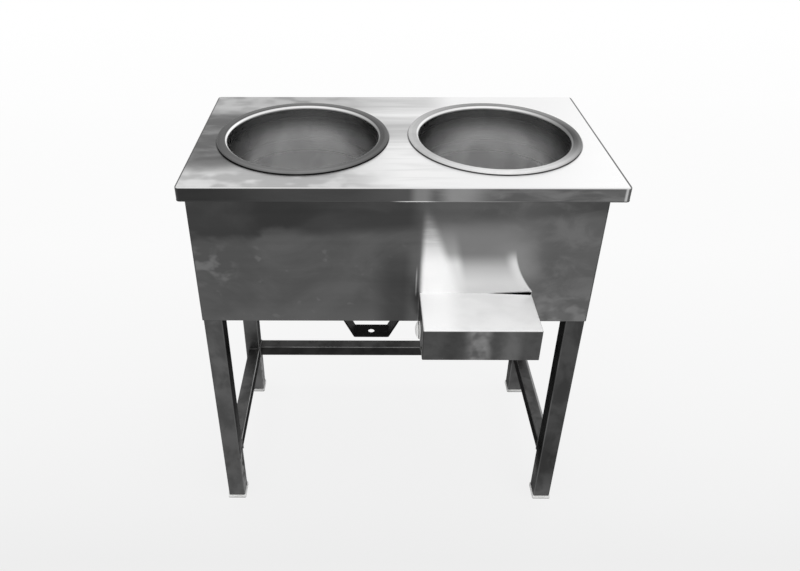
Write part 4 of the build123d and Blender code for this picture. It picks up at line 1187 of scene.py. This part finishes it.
# %% Hem the edge of the top
hem_radius = 0.0013
hem_inset = 0.0009
hem_spacing = 0.0015
top_corner = 0.008
top_corner_steps = 10
up = Vector((0.0, 0.0, 1.0))
half = ((top_high.x - top_low.x) / 2.0 - hem_inset, (top_high.y - top_low.y) / 2.0 - hem_inset)
loop = rounded_loop(middle_of("top_plate"), half, top_corner - hem_inset, top_corner_steps)
edge = even_points([(x, y, top_low.z + hem_inset) for x, y in loop], hem_spacing, True)
bead_piece("top_hem", [bead_along(edge, lambda step: hem_radius, up, True)], hem_steel)

# %% [markdown]
# The stretchers are welded to the legs all round. A weld laid by hand is a row of small overlapping ripples,
# so the bead follows the outline of the bar and swells and shrinks every few millimetres.

# %% Weld the frame
ripple_pitch = 0.0034
bead_spacing = 0.0007
bar_corner = 0.0025
bar_corner_steps = 5
weld_radius, weld_ripple = 0.0021, 0.28


def ripples(radius, depth):
    """A radius that swells and shrinks along the bead."""
    turn = math.pi * bead_spacing / ripple_pitch
    return lambda step: radius * (1.0 - depth + depth * abs(math.sin(turn * step)))


def bar_weld(node, axis, end):
    """The weld around one end of a bar, in the plane of the leg that it meets."""
    low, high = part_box(node)
    first, second = [index for index in range(3) if index != axis]
    centre = ((low[first] + high[first]) / 2.0, (low[second] + high[second]) / 2.0)
    half = ((high[first] - low[first]) / 2.0, (high[second] - low[second]) / 2.0)
    path = []
    for a, b in rounded_loop(centre, half, bar_corner, bar_corner_steps):
        point = Vector((0.0, 0.0, 0.0))
        point[axis] = high[axis] if end else low[axis]
        point[first], point[second] = a, b
        path.append(point)
    normal = Vector((0.0, 0.0, 0.0))
    normal[axis] = 1.0
    return bead_along(even_points(path, bead_spacing, True), ripples(weld_radius, weld_ripple), normal, True)


for bar, axis in (("left_stretcher", 1), ("right_stretcher", 1), ("cross_stretcher", 0)):
    bead_piece(f"{bar}_welds", [bar_weld(bar, axis, end) for end in (0, 1)], weld_steel)

# %% [markdown]
# The four walls of the tank meet at upright corners that are welded and then ground smooth. The ripples are
# gone and only a soft rounded line is left, which ends under the top.

# %% Close the tank's corners
seam_radius = 0.0014
seam_inset = 0.0008
seam_spacing = 0.004
rearward = Vector((0.0, 1.0, 0.0))
front_low, front_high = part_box("front_wall")
rear_face_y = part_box("rear_wall")[1].y
seams = []
for x in (front_low.x + seam_inset, front_high.x - seam_inset):
    for y in (front_low.y + seam_inset, rear_face_y - seam_inset):
        ends = [(x, y, front_low.z + seam_radius), (x, y, top_low.z)]
        path = even_points(ends, seam_spacing, False)
        seams.append(bead_along(path, lambda step: seam_radius, rearward, False))
bead_piece("tank_corner_seams", seams, seam_steel)

# %% [markdown]
# Each leg is tacked to the lower edge of the walls, along its front or rear face and along its outer side,
# with short rippled beads.

# %% Tack the legs to the tank
tack_radius, tack_ripple = 0.0013, 0.22
edge_z = front_low.z
tacks = []
for leg in ("front_left_leg", "front_right_leg", "rear_left_leg", "rear_right_leg"):
    leg_low, leg_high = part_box(leg)
    face_y = leg_low.y if leg.startswith("front") else leg_high.y
    face_x = leg_low.x if "left" in leg else leg_high.x
    along_face = [(x, face_y, edge_z) for x in (leg_low.x + bar_corner, leg_high.x - bar_corner)]
    along_side = [(face_x, y, edge_z) for y in (leg_low.y + bar_corner, leg_high.y - bar_corner)]
    for ends in (along_face, along_side):
        path = even_points(ends, bead_spacing, False)
        tacks.append(bead_along(path, ripples(tack_radius, tack_ripple), up, False))
bead_piece("leg_tack_welds", tacks, weld_steel)
